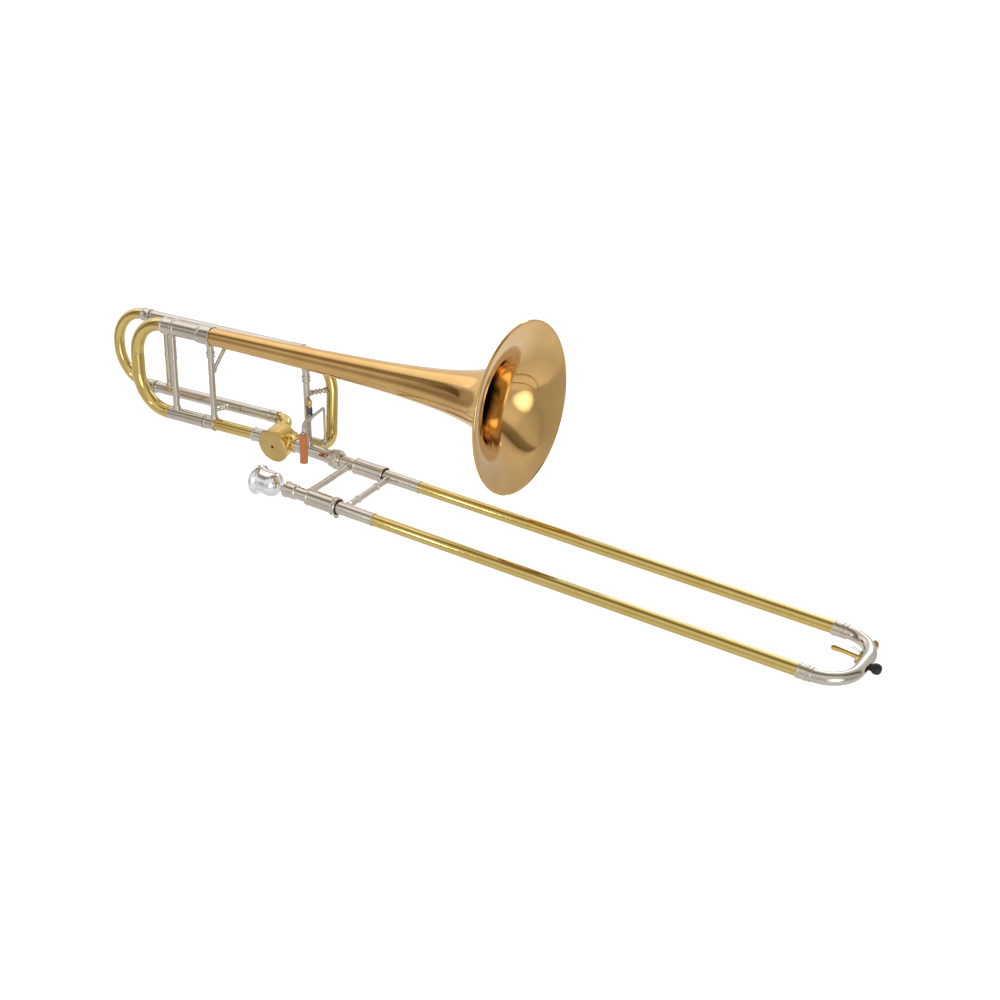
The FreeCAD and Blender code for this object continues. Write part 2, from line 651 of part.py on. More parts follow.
# ---------------------------------------------------------------- fixed braces and trigger
def make_braces():
    """The grip post, the tail post and the cross braces of the F section."""
    grip_x, tail_x = number(D.grip_along), number(D.tail_post_along)
    ball = [(0.145, 4.9), (0.16, 5.9), (0.185, 5.9), (0.2, 4.9)]
    beads = [(0, 5.6), *ball, (0.215, 5.5), (0.235, 5.5), (0.24, 4.4), (0.93, 4.4), (0.935, 5.2),
             (1, 5.2)]
    keep(brace("grip_brace", Vector(grip_x, 0, number(D.bell_height)),
               Vector(grip_x, 0, at(SLIDE, 26).z), beads,
               [(flare_radius(grip_x) + 0.12, BELL), (D.receiver_radius + 0.02, SLIDE)]),
         "grip_brace")
    keep(brace("tail_brace", at(BELL, tail_x), at(MAIN, tail_x), beads,
               [(13.55, BELL), (9.82, MAIN)]), "tail_brace")
    tail_post = Placement(Vector(tail_x, 0, 0), TURN_X_TO_Z)
    grip_post = Placement(Vector(grip_x, 0, 0), TURN_X_TO_Z)
    rod_shape = [(0, 4.2), (0.16, 4.2), (0.17, 2.7), (0.85, 2.7), (0.86, 4.2), (1, 4.2)]
    bead_shape = [(0, 4.0), (0.3, 4.0), (0.32, 2.6), (0.36, 2.6), (0.4, 4.0), (0.46, 4.0),
                  (0.5, 2.6), (0.54, 4.0), (0.6, 4.0), (0.64, 2.6), (0.68, 2.6), (0.7, 4.0),
                  (1, 4.0)]
    diagonal = brace("diagonal_rod", Vector(tail_x, 0, 6), at(F_UPPER, tail_x + 8), rod_shape,
                     [(4.42, tail_post), (8.32, F_UPPER)])
    lower = brace("lower_cross", Vector(tail_x, 0, -45), at(F_LOWER, tail_x), bead_shape,
                  [(4.42, tail_post), (8.22, F_LOWER)])
    crook_spot = Vector(17, 32.3, 12)
    crook_way = Placement(crook_spot, Rotation(Vector(1, 0, 0), Vector(0, 8.4, 124.1)))
    front = brace("front_cross", Vector(grip_x, 0, 12), crook_spot, bead_shape,
                  [(4.42, grip_post), (D.f_tube_radius + 0.02, crook_way)])
    keep(joined("f_section_braces", [diagonal, lower, front]), "f_section_braces")


def make_trigger():
    """Bracket on the grip post, hinge pin, torsion spring, lever and thumb roller."""
    hinge = Placement(Vector(number(D.pin_along), number(D.pin_side), 0), Rotation())
    upright = hinge * Placement(Vector(), TURN_X_TO_Z)
    way = Vector(number(D.pin_along), number(D.pin_side), 0)
    toward = Placement(Vector(), Rotation(Vector(1, 0, 0), way))
    blocks = [box("bracket_spine", (6.7, 6.4, 27), toward * Placement(Vector(0, -3.2, -21), Rotation()))]
    for name, low, high in (("top", -1.0, 6.0), ("low", -21.0, -16.0)):
        blocks.append(box(f"bracket_{name}_arm", (way.Length, 5.4, high - low),
                          toward * Placement(Vector(0, -2.7, low), Rotation())))
        blocks.append(cylinder(f"bracket_{name}_lug", 3.3, high - low,
                               hinge * Placement(Vector(0, 0, low), Rotation())))
    bracket = cut("trigger_bracket", fused("bracket_blank", blocks), [
        cylinder("bracket_post", D.post_radius + 0.02, 60, Placement(Vector(0, 0, -40), Rotation())),
        cylinder("bracket_bore", D.pin_radius + 0.01, 60,
                 hinge * Placement(Vector(0, 0, -40), Rotation()))])
    keep(bracket, "trigger_bracket")
    turned("lever_hinge_pin", upright, [
        (-21.6, 0), (7.6, 0), (7.4, 1.6), (6.8, 2.5), (6.05, 2.6), (6.05, D.pin_radius),
        (-21.6, D.pin_radius)])
    coils = [corner for turn in range(8) for corner in
             ((-13.5 + turn * 1.3, 3.25), (-13.15 + turn * 1.3, 3.75), (-12.55 + turn * 1.3, 3.75),
              (-12.25 + turn * 1.3, 3.25))]
    turned("torsion_spring", upright, [(-3.1, 2.75), (-13.5, 2.75), *coils, (-3.1, 3.25)])
    make_lever(hinge)


def make_lever(hinge):
    """The lever: a sloping strip past the hinge, the neck for the roller and the drop arm."""
    neck = Vector(number(D.roller_along), number(D.roller_side), -16.5)
    end = Vector(number(D.lever_end_along), number(D.lever_end_side), -8.6)
    along = end - neck
    slope = Placement(neck, Rotation(along, Vector(), Vector(0, 0, 1), "XZY"))
    strip = box("lever_strip", (along.Length, 1.8, 5.0),
                slope * Placement(Vector(0, -0.9, -2.5), Rotation()))
    barrel = cylinder("lever_barrel", 2.4, 14.2, hinge * Placement(Vector(0, 0, -15.7), Rotation()))
    web = box("lever_web", (6.8, 4.0, 1.8), hinge * Placement(Vector(0, -2, -15.7), Rotation()))
    drop = box("lever_drop", (3.6, 2.0, end.z + 2.2 - number(D.lever_end_low)), Placement(
        Vector(end.x - 1.8, end.y - 1, number(D.lever_end_low)), Rotation()))
    tip = cylinder("lever_tip", 1.2, 9, Placement(
        Vector(end.x, end.y, number(D.lever_end_low) - 3.6), Rotation()))
    drop_low = cylinder("lever_drop_trim", 6, 8, Placement(
        Vector(end.x, end.y, number(D.lever_end_low) - 2.6), Rotation()))
    top = number(D.roller_top)
    neck_axis = Placement(Vector(neck.x, neck.y, 0), Rotation())
    neck_post = cylinder("lever_neck", 2.6, 16.9,
                         neck_axis * Placement(Vector(0, 0, top + 0.1), Rotation()))
    core = cylinder("lever_core", 1.8, 38, neck_axis * Placement(Vector(0, 0, top - 37.5), Rotation()))
    arm = cut("lever_arm", drop, [drop_low])
    blank = fused("lever_blank", [strip, barrel, web, arm, tip, neck_post, core])
    keep(cut("thumb_lever", blank, [cylinder(
        "lever_bore", D.pin_radius + 0.05, 40, hinge * Placement(Vector(0, 0, -30), Rotation()))]),
        "thumb_lever")
    roller_axis = Placement(Vector(neck.x, neck.y, 0), TURN_X_TO_Z)
    turned("thumb_roller", roller_axis, [
        (D.roller_low, 0), (D.roller_low + 2.9, 0), (D.roller_low + 2.9, 1.82),
        (D.roller_top, 1.82), (D.roller_top, D.roller_radius - 0.8),
        (D.roller_top - 0.8, D.roller_radius), (D.roller_low + 0.8, D.roller_radius),
        (D.roller_low, D.roller_radius - 0.8)])


def make_bumpers():
    """Two rubber stops for the arm, standing on the rear plate."""
    stops = []
    for name, angle in (("rest", 5.0), ("pressed", 99.0)):
        turn = Placement(Vector(), Rotation(Vector(0, 0, 1), -angle))
        stops.append(cylinder(f"bumper_{name}", 1.4, 2.2, VALVE * turn * Placement(
            Vector(16.4, 0, number(D.casing_rear) + 0.02), Rotation())))
    keep(joined("stop_bumpers", stops), "stop_bumpers")


# ---------------------------------------------------------------- hand slide
def make_receiver():
    turned("slide_receiver", SLIDE, [
        (-0.2, D.receiver_bore), (D.receiver_end, D.receiver_bore), (D.receiver_end, 9.1),
        (D.receiver_end - 0.5, 9.6), (D.receiver_end - 4, 9.6), (D.receiver_end - 4.5, 8.95),
        (D.receiver_end - 5.5, D.receiver_radius), (D.receiver_end - 11, D.receiver_radius),
        (D.receiver_end - 11.3, 9.5), (D.receiver_end - 12.6, 9.5),
        (D.receiver_end - 12.9, D.receiver_radius), (-0.2, D.receiver_radius)])
    turned("bell_lock_nut", SLIDE, [
        (D.nut_back, 9.7), (75, 9.7), (75, D.stem_radius + 0.08), (D.nut_front, D.stem_radius + 0.08),
        (D.nut_front, 10.4), (80.3, 11.0), (78, 11.0), (77.6, 11.9), (76.8, 12.9), (75.6, 13.4),
        (72.2, 13.4), (71, 12.9), (70.2, 11.9), (69.4, 11.3), (68.9, 12.1), (67.4, 12.1),
        (67, 11.4), (66.6, 12.0), (D.nut_back + 0.4, 12.0), (D.nut_back, 11.5)])


def make_inner_slide():
    """The inner slide: tenon, barrels, mouthpiece receiver, leadpipe, inner tubes and brace."""
    seat = D.barrel_back - 3
    turned("slide_tenon", SLIDE, [
        (30, 6.4), (seat - 0.1, 6.4), (seat - 0.1, D.stem_radius), (74, D.stem_radius),
        (73.8, 9.3), (71, 9.3), (71, 7.53), (30.6, 7.53), (30, 7.2)])
    barrel = [(seat, D.inner_radius + 0.02), (D.barrel_back, D.inner_radius + 0.02),
              (D.barrel_back, D.barrel_bore), (D.barrel_front, D.barrel_bore)]
    shell = [(D.barrel_back + 0.5, D.barrel_radius), (D.barrel_back, 11.2),
             (D.barrel_back - 1.8, 11.2), (D.barrel_back - 2.2, 9.6), (seat, 9.2)]
    turned("far_barrel", SLIDE, [
        *barrel, (D.barrel_front, 11.2), (D.barrel_front - 0.5, 11.6), (D.barrel_front - 3.6, 11.6),
        (D.barrel_front - 4.1, D.barrel_radius), *shell])
    turned("near_barrel", NEAR_LEG, [
        *barrel, (D.barrel_front, D.barrel_radius), *shell])
    turned("mouthpiece_receiver", NEAR_LEG, [
        (D.socket_back, 6.7), (91.6, 6.09), (91.6, 6.52), (seat - 0.1, 6.52), (seat - 0.1, 8.4),
        (86, 8.4), (85, 9.5), (84, 9.9), (D.socket_back + 4.5, 9.9), (D.socket_back + 4, 10.7),
        (D.socket_back + 0.6, 10.7), (D.socket_back, 10.1)])
    turned("leadpipe", NEAR_LEG, [(92, 5.75), (190, 6.1), (190, 6.5), (92, 6.5)])
    pair("inner_tubes", "inner_tube", [
        (seat + 0.1, D.inner_bore), (D.inner_end, D.inner_bore), (D.inner_end, D.inner_radius),
        (seat + 0.1, D.inner_radius)])
    pair("barrel_corks", "barrel_cork", tube_corners(
        D.barrel_back + 16, D.barrel_back + 25, D.barrel_bore - 0.05, D.inner_radius + 0.03))
    posts = slide_posts("inner_brace", D.inner_brace_along, [
        (0, 5.5), (0.13, 5.5), (0.14, 5.0), (0.17, 4.3), (0.44, 4.3), (0.45, 5.0), (0.55, 5.0),
        (0.56, 4.3), (0.83, 4.3), (0.86, 5.0), (0.87, 5.5), (1, 5.5)],
        D.stem_radius + 0.02, 8.42)
    keep(posts, "inner_brace")
    turned("mouthpiece", NEAR_LEG, [
        (D.mouth_rim + 1.3, 12.6), (D.mouth_rim + 8, 11.9), (D.mouth_rim + 16, 9.2),
        (D.mouth_rim + 23, 5.2), (D.mouth_rim + 27, 3.5), (D.mouth_rim + 33, 3.5),
        (D.shank_front, 5.2), (D.shank_front, 5.98), (D.socket_back + 0.5, 6.6),
        (D.socket_back - 2, 6.66), (62.5, 6.2), (60.5, 6.6), (59.6, 9.0), (58.4, 11.8),
        (56.2, 14.4), (53, 16.4), (49.5, 17.3), (45, 17.3), (40, 16.7), (34, 16.5), (30, 16.6),
        (28.4, 17.0), (27.2, 18.3), (26, 19.4), (24.4, D.mouth_radius), (22.6, 19.9),
        (21.2, 19.2), (D.mouth_rim + 0.3, 18.0), (D.mouth_rim, 16.4), (D.mouth_rim, 14.7),
        (D.mouth_rim + 0.4, 13.4)])


def slide_posts(name, along, corners, far_seat, near_seat):
    return brace(name, at(SLIDE, along), at(NEAR_LEG, along), corners,
                 [(far_seat, SLIDE), (near_seat, NEAR_LEG)])


def make_slide_lock():
    """A ring that turns on the near barrel, with a thumb tab beneath it."""
    ring = turned_body("lock_ring", NEAR_LEG, [ferrule_corners(
        D.barrel_front - 7, D.barrel_front, 11.7, D.barrel_radius + 0.08, 0.5, 1.4)])
    tab = box("lock_tab", (4.6, 6, 4.6), NEAR_LEG * Placement(
        Vector(number(D.barrel_front) - 5.8, -3, -15.6), Rotation()))
    keep(cut("slide_lock_ring", fused("lock_blank", [ring, tab]), [axis_rod(
        "lock_bore", D.barrel_radius + 0.08, NEAR_LEG, 120, 170)]), "slide_lock_ring")


def make_outer_slide():
    """The outer slide: sleeves, tubes, hand brace, ferrules, bow and the bow's fittings."""
    pair("outer_sleeves", "sleeve", [
        (D.outer_back, D.outer_radius + 0.03), (D.sleeve_end, D.outer_radius + 0.03),
        (D.sleeve_end, D.sleeve_radius - 0.2), (D.sleeve_end - 0.4, D.sleeve_radius + 0.35),
        (D.sleeve_end - 2, D.sleeve_radius + 0.35), (D.sleeve_end - 2.4, D.sleeve_radius),
        (D.outer_back, D.sleeve_radius)])
    pair("outer_tubes", "outer_tube", tube_corners(D.outer_back, D.outer_end, D.outer_radius,
                                                   D.outer_bore))
    keep(slide_posts("outer_brace", D.hand_brace_along, [
        (0, 6.2), (0.14, 6.2), (0.15, 5.4), (0.19, 4.5), (0.31, 4.5), (0.32, 5.3), (0.35, 5.3),
        (0.36, 4.4), (0.64, 4.4), (0.65, 5.3), (0.68, 5.3), (0.69, 4.5), (0.81, 4.5), (0.85, 5.4),
        (0.86, 6.2), (1, 6.2)], D.sleeve_radius + 0.02, D.sleeve_radius + 0.02), "outer_brace")
    back, front = D.bow_ferrule_back, D.bow_start
    pair("slide_ferrules", "bow_ferrule", [
        (back, D.outer_radius + 0.03), (front, D.outer_radius + 0.03), (front, 8.4),
        (front - 0.5, 8.75), (front - 3, 8.75), (front - 3.5, 8.3), (front - 5, 8.3),
        (front - 5.4, 9.1), (front - 7.4, 9.1), (front - 7.8, 8.8), (back + 2.4, 8.8),
        (back + 2, 9.2), (back + 0.4, 9.2), (back, 8.9)])
    bow("slide_bow", SLIDE, D.outer_end + 0.2, -D.slide_gap, D.bow_bend, D.outer_radius,
        D.outer_bore, 1, D.bow_start - D.outer_end - 0.2)
    make_bow_fittings()


def make_bow_fittings():
    """Rubber bumper with its stub, and the water key with nipple, posts, pin and spring."""
    apex = number(D.bow_start + D.bow_bend)
    middle = SLIDE * Placement(Vector(0, -number(D.slide_gap) / 2, 0), Rotation())
    turned("rubber_bumper", middle, [
        (apex + 9.6, 0), (apex + 20.2, 0), (apex + 20.2, 2.6), (apex + 19.4, 4.5),
        (apex + 17.4, 6.0), (apex + 14.8, 6.5), (apex + 12.2, 6.0), (apex + 10.4, 4.9),
        (apex + 9.6, 3.4)])
    stub = axis_rod("bumper_stub", 3.0, middle, apex, apex + 9.5)
    straight = SLIDE * Placement(Vector(apex, 0, 0), TURN_X_TO_Y)
    stub = cut("bumper_seat", stub, [axis_rod("stub_trim", D.outer_radius + 0.02, straight, -120, 10)])
    centre = Vector(number(D.bow_start), -number(D.bow_bend), 0)
    turn, dip = math.radians(50), math.radians(24)
    out = Vector(math.cos(turn), math.sin(turn), 0)
    core = centre + out * number(D.bow_bend)
    way = out * math.cos(dip) + Vector(0, 0, -math.sin(dip))
    nipple_frame = SLIDE * Placement(core, Rotation(Vector(1, 0, 0), way))
    nipple = turned_body("water_nipple", nipple_frame, [[
        (8.05, 1.6), (10.4, 1.6), (10.4, 2.6), (9.6, 3.4), (8.05, 4.2)]])
    hinge = Vector(812.0, 0, -9.5)
    posts = []
    for name, side, foot in (("near", -35.5, Vector(824, -35.5, -3)),
                             ("far", -13.6, Vector(816, -13.6, -4))):
        spot = Vector(hinge.x, side, hinge.z)
        posts.append(rod(f"key_post_{name}", 1.5, spot, foot))
        posts.append(rod(f"key_eye_{name}", 2.4, spot - Vector(0, 1.2, 0), spot + Vector(0, 1.2, 0)))
    bend = doc.addObject("Part::Torus", "bow_bend_trim")
    follow(bend, "Radius1", D.bow_bend)
    follow(bend, "Radius2", D.outer_radius + 0.02)
    bend.Placement = Placement(centre, Rotation())
    brackets = cut("key_posts", fused("key_posts_blank", posts), [bend, rod(
        "key_post_bore", 1.12, Vector(hinge.x, -50, hinge.z), Vector(hinge.x, 0, hinge.z))])
    brackets.Placement = SLIDE
    keep(joined("bow_fittings", [stub, nipple, brackets]), "bow_fittings")
    key_axis = SLIDE * Placement(hinge, TURN_X_TO_Y)
    turned("water_key_pin", key_axis, [(-37.6, 0), (-11.8, 0), (-11.8, 1.1), (-37.6, 1.1)])
    make_water_spring(hinge, key_axis)
    make_water_key(hinge, nipple_frame)


def make_water_spring(hinge, key_axis):
    coil = turned_body("key_coil", key_axis, [[
        (-18.9, 1.3), (-15.2, 1.3), (-15.2, 2.1), (-16.6, 2.2), (-17, 1.9), (-17.4, 2.2),
        (-18.9, 2.1)]])
    legs = [rod(f"key_wire_{count}", 0.4, Vector(hinge.x - 1.4, side, hinge.z + 1.2),
                Vector(hinge.x - 13, side, hinge.z + 4.4))
            for count, side in enumerate((-18.4, -15.8))]
    wires = fused("key_wires", legs)
    wires.Placement = SLIDE
    keep(fused("water_key_spring", [coil, wires]), "water_key_spring")


def make_water_key(hinge, nipple_frame):
    """The key: barrel, finger tab inside the bow and the arm under it to the cork's cup."""
    back = nipple_frame.multVec(Vector(15.0, 0, 0))
    back = SLIDE.inverse().multVec(back)
    barrel = rod("key_barrel", 2.3, Vector(hinge.x, -33.8, hinge.z), Vector(hinge.x, -19.4, hinge.z))
    bends = [Vector(hinge.x, -21.2, hinge.z), Vector(hinge.x + 1.6, -21.2, -13.4),
             Vector(818.5, -5.5, -13.4), back + Vector(0, 0, -0.4)]
    arm = [rod(f"key_arm_{count}", 1.5, start, end)
           for count, (start, end) in enumerate(zip(bends, bends[1:]))]
    arm += [ball(f"key_knee_{count}", 1.5, spot) for count, spot in enumerate(bends[1:3])]
    root = Vector(hinge.x, -29, hinge.z + 0.8)
    tip = Vector(hinge.x - 34, -29, hinge.z + 3.4)
    slope = Placement(root, Rotation(tip - root, Vector(), Vector(0, 0, 1), "XZY"))
    tab = box("key_tab", ((tip - root).Length, 5.4, 1.8),
              slope * Placement(Vector(0, -2.7, -0.9), Rotation()))
    end = cylinder("key_tip", 2.7, 1.8, slope * Placement(Vector((tip - root).Length, 0, -0.9), Rotation()))
    cup = SLIDE.inverse() * nipple_frame
    blank = fused("key_blank", [barrel, *arm, tab, end,
                                axis_rod("key_cup", 5.1, cup, 12.1, 15.2)])
    key = cut("water_key", blank, [
        rod("key_bore", 1.16, Vector(hinge.x, -50, hinge.z), Vector(hinge.x, 0, hinge.z)),
        axis_rod("key_cup_hollow", 4.3, cup, 8, 13.4)])
    key.Placement = SLIDE
    keep(key, "water_key")
    turned("water_key_cork", nipple_frame, [(10.5, 0), (13.38, 0), (13.38, 4.25), (10.9, 4.25),
                                            (10.5, 3.8)])


# ---------------------------------------------------------------- write the sub-parts
def main():
    make_bell_section()
    make_valve()
    make_link(make_stop_arm())
    make_valve_tubes()
    make_bumpers()
    make_main_slide()
    make_f_section()
    make_braces()
    make_trigger()
    make_receiver()
    make_inner_slide()
    make_slide_lock()
    make_outer_slide()
    doc.recompute()
    check_and_write()


def check_and_write():
    """Stop if any object failed, then write one STEP file for each sub-part."""
    for item in doc.Objects:
        bad = [word for word in item.State if word in ("Invalid", "Error")]
        if bad:
            raise RuntimeError(f"{item.Name}: {bad}")
    os.makedirs("parts", exist_ok=True)
    for part in SUB_PARTS:
        if part.Shape.isNull() or not part.Shape.isValid():
            raise RuntimeError(f"{part.Label}: no valid shape")
        part.Shape.exportStep(f"parts/{part.Label}.step")


main()
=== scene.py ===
"""Looks for the trombone: smooth metal work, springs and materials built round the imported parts.

Lengths are millimetres in the row frame, unless a comment says metres, and are turned to metres as
each mesh is made."""

import json
import math

import bpy
from mathutils import Matrix, Vector


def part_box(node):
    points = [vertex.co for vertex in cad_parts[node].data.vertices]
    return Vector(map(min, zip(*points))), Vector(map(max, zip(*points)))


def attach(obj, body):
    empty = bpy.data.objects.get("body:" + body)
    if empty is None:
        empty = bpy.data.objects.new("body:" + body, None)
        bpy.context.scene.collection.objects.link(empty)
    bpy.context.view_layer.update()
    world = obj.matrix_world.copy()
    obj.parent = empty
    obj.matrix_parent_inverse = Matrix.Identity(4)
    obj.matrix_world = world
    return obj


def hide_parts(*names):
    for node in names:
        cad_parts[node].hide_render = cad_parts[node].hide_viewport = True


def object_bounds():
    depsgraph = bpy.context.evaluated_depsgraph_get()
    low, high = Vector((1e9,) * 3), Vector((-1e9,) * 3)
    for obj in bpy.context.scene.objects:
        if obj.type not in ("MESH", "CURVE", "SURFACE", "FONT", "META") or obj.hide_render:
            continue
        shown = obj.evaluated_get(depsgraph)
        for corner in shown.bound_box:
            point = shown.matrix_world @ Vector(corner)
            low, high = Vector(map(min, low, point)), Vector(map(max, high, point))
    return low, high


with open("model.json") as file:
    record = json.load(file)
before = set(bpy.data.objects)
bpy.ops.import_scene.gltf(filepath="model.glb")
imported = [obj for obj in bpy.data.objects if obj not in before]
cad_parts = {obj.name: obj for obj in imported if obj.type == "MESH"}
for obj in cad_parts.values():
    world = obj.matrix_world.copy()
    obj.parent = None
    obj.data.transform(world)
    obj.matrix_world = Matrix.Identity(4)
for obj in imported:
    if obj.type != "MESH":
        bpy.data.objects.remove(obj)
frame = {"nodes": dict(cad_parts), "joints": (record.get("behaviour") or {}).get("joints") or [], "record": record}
CAD_BOX = [list(v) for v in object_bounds()]
MM = 0.001
RINGS = 96
ALONG_X, ALONG_Y, UPWARDS = (1, 0, 0), (0, 1, 0), (0, 0, 1)


# ---- camera, light and floor
# The camera's place in metres, and its lens and sensor in millimetres.
CAMERA_AT = (1.3208, -1.6698, 0.81245)
# Degrees: turned left from the row's Y, dipped below the horizon, rolled.
CAMERA_TURN = (31.494, 24.188, 0.677)
LENS, SENSOR = 62.26, 36.0
CLIP_NEAR, CLIP_FAR = 0.05, 200.0
# Metres from the lowest point of the CAD down to the floor, and half the floor's side.
FLOOR_DROP, FLOOR_HALF = 0.28, 40


def look_direction(yaw, pitch):
    level_share = math.cos(pitch)
    return Vector((-math.sin(yaw) * level_share, math.cos(yaw) * level_share, -math.sin(pitch)))


def make_camera():
    yaw, pitch, roll = (math.radians(a) for a in CAMERA_TURN)
    ahead = look_direction(yaw, pitch)
    right = Vector((math.cos(yaw), math.sin(yaw), 0))
    up = right.cross(ahead)
    right, up = (right * math.cos(roll) + up * math.sin(roll),
                 up * math.cos(roll) - right * math.sin(roll))
    data = bpy.data.cameras.new("camera")
    data.lens, data.sensor_width = LENS, SENSOR
    data.clip_start, data.clip_end = CLIP_NEAR, CLIP_FAR
    camera = bpy.data.objects.new("camera", data)
    turn = Matrix((right, up, -ahead)).transposed().to_4x4()
    camera.matrix_world = Matrix.Translation(CAMERA_AT) @ turn
    bpy.context.scene.collection.objects.link(camera)
    bpy.context.scene.camera = camera


def nodes_of(tree):
    tree.nodes.clear()

    def add(kind, **values):
        node = tree.nodes.new(kind)
        for key, value in values.items():
            setattr(node, key, value)
        return node

    return add, tree.links.new


def ramp(node, stops):
    band = node.color_ramp
    while len(band.elements) < len(stops):
        band.elements.new(0.5)
    for element, (spot, colour) in zip(band.elements, stops):
        element.position = spot
        element.color = (*colour, 1) if len(colour) == 3 else colour


def make_world():
    """White to the eye; for reflections a pale room with a dim strip of ceiling and a window."""
    world = bpy.data.worlds.new("studio")
    bpy.context.scene.world = world
    world.use_nodes = True
    add, link = nodes_of(world.node_tree)
    spot = add("ShaderNodeTexCoord")
    turn = add("ShaderNodeMapping", vector_type="POINT")
    turn.inputs["Rotation"].default_value = (0, 0, math.radians(-ROOM_TURN))
    link(spot.outputs["Generated"], turn.inputs["Vector"])
    split = add("ShaderNodeSeparateXYZ")
    link(turn.outputs["Vector"], split.inputs["Vector"])
    front = scaled(add, link, split.outputs["Y"], -1, 0)
    angle = add("ShaderNodeMath", operation="ARCTAN2")
    link(split.outputs["Z"], angle.inputs[0])
    link(front, angle.inputs[1])
    share = scaled(add, link, angle.outputs[0], 0.5 / math.pi, 0.5)
    walls = bands(add, link, share, ROOM_BANDS)
    side = bands(add, link, split.outputs["X"], SIDE_BANDS)
    ground = bands(add, link, share, FLOOR_BANDS)
    floor_mask = bands(add, link, scaled(add, link, split.outputs["Z"], 0.5, 0.5), FLOOR_EDGE)
    dark = bands(add, link, toward(add, link, turn.outputs["Vector"], DIM_CORNER), DIM_CORNER_BANDS)
    glow = bands(add, link, toward(add, link, turn.outputs["Vector"], WINDOW), WINDOW_BANDS)
    tone = mixed(add, link, "MULTIPLY", walls, side)
    tone = mixed(add, link, "MIX", ground, tone, floor_mask)
    tone = mixed(add, link, "MULTIPLY", tone, dark)
    tone = mixed(add, link, "ADD", tone, glow)
    shine = add("ShaderNodeBackground")
    link(tone, shine.inputs["Color"])
    plain = add("ShaderNodeBackground")
    plain.inputs["Color"].default_value = (1, 1, 1, 1)
    path = add("ShaderNodeLightPath")
    mix = add("ShaderNodeMixShader")
    link(path.outputs["Is Camera Ray"], mix.inputs[0])
    link(shine.outputs[0], mix.inputs[1])
    link(plain.outputs[0], mix.inputs[2])
    link(mix.outputs[0], add("ShaderNodeOutputWorld").inputs["Surface"])


def scaled(add, link, value, factor, offset):
    node = add("ShaderNodeMath", operation="MULTIPLY_ADD")
    node.inputs[1].default_value = factor
    node.inputs[2].default_value = offset
    link(value, node.inputs[0])
    return node.outputs[0]


def bands(add, link, value, stops):
    band = add("ShaderNodeValToRGB")
    ramp(band, stops)
    link(value, band.inputs["Fac"])
    return band.outputs["Color"]


def mixed(add, link, blend, first, second, factor=None):
    node = add("ShaderNodeMix", data_type="RGBA", blend_type=blend)
    node.inputs["Factor"].default_value = 1.0
    if factor is not None:
        link(factor, node.inputs["Factor"])
    link(first, node.inputs["A"])
    link(second, node.inputs["B"])
    return node.outputs["Result"]


def toward(add, link, vector, angles):
    """Cosine of the angle between a direction in the room and the given one."""
    node = add("ShaderNodeVectorMath", operation="DOT_PRODUCT")
    node.inputs[1].default_value = direction(*angles)
    link(vector, node.inputs[0])
    return node.outputs["Value"]


def direction(left, up):
    """Unit vector by angles from the front of the room: to its left and above its horizon."""
    a, b = math.radians(left), math.radians(up)
    return (-math.sin(a) * math.cos(b), -math.cos(a) * math.cos(b), math.sin(b))


def grey(value, warm=0.0):
    return (value, value * (1 - warm * 0.4), value * (1 - warm))


def within(wide, narrow, outside, inside):
    """Stops for a round patch, from the cosine of its wide angle to that of its narrow one."""
    return [(math.cos(math.radians(wide)), outside), (math.cos(math.radians(narrow)), inside)]


# Degrees that the room is turned about the vertical, to face the camera.
ROOM_TURN = 31.5
# Angles to the left of the room's front and above its horizon, and the tone round that direction.
DIM_CORNER = (92, 4)
DIM_CORNER_BANDS = within(27, 19, grey(1.0), (0.50, 0.46, 0.42))
WINDOW = (-17, 0)
WINDOW_BANDS = within(24, 6, grey(0.0), grey(2.2))
# By the part of a direction that points to the room's right, and by its height as a share.
SIDE_BANDS = [(0.30, grey(1.0)), (0.62, grey(0.74))]
FLOOR_EDGE = [(0.288, grey(0.0)), (0.300, grey(1.0))]
# Once round the room, in turns: the back horizon (0), below (0.25), the front horizon (0.5),
# the ceiling (0.75) and the back horizon again (1).
ROOM_BANDS = [
    (0.0, grey(0.88)), (0.20, grey(0.72)), (0.44, grey(0.66)), (0.50, grey(0.56)),
    (0.56, grey(0.72)), (0.62, grey(0.86)), (0.675, grey(0.80)), (0.70, grey(0.36, 0.3)),
    (0.775, grey(0.23, 0.3)), (0.80, grey(0.74)), (0.86, grey(0.96)), (0.93, grey(0.94)),
    (1.0, grey(0.88)),
]
FLOOR_BANDS = [(0.0, grey(0.92)), (0.125, grey(0.90)), (0.25, grey(0.66)), (0.36, grey(0.82)),
               (0.5, grey(0.86))]
# name, centre, the point it faces, width, length (all in metres) and watts
LIGHTS = [
    ("softbox_over_bell", (-1.08, 0.12, 1.05), (-1.08, 0.12, 0.0), 1.65, 1.1, 2.5),
    ("key", (-1.0, -2.4, 0.55), (0.3, 0, 0), 0.16, 0.22, 1.4),
    ("fill", (2.3, -1.1, 1.4), (0.3, 0, 0), 0.7, 0.9, 5.0),
    ("rim", (0.2, 2.4, 1.6), (0.3, 0, 0), 1.6, 0.5, 7.0),
]


def make_lights():
    for name, spot, aim, width, length, power in LIGHTS:
        data = bpy.data.lights.new(name, "AREA")
        data.shape = "RECTANGLE"
        data.size, data.size_y, data.energy = width, length, power
        light = bpy.data.objects.new(name, data)
        light.location = spot
        light.visible_glossy = name != "fill"
        light.rotation_euler = (Vector(aim) - Vector(spot)).to_track_quat("-Z", "Y").to_euler()
        bpy.context.scene.collection.objects.link(light)


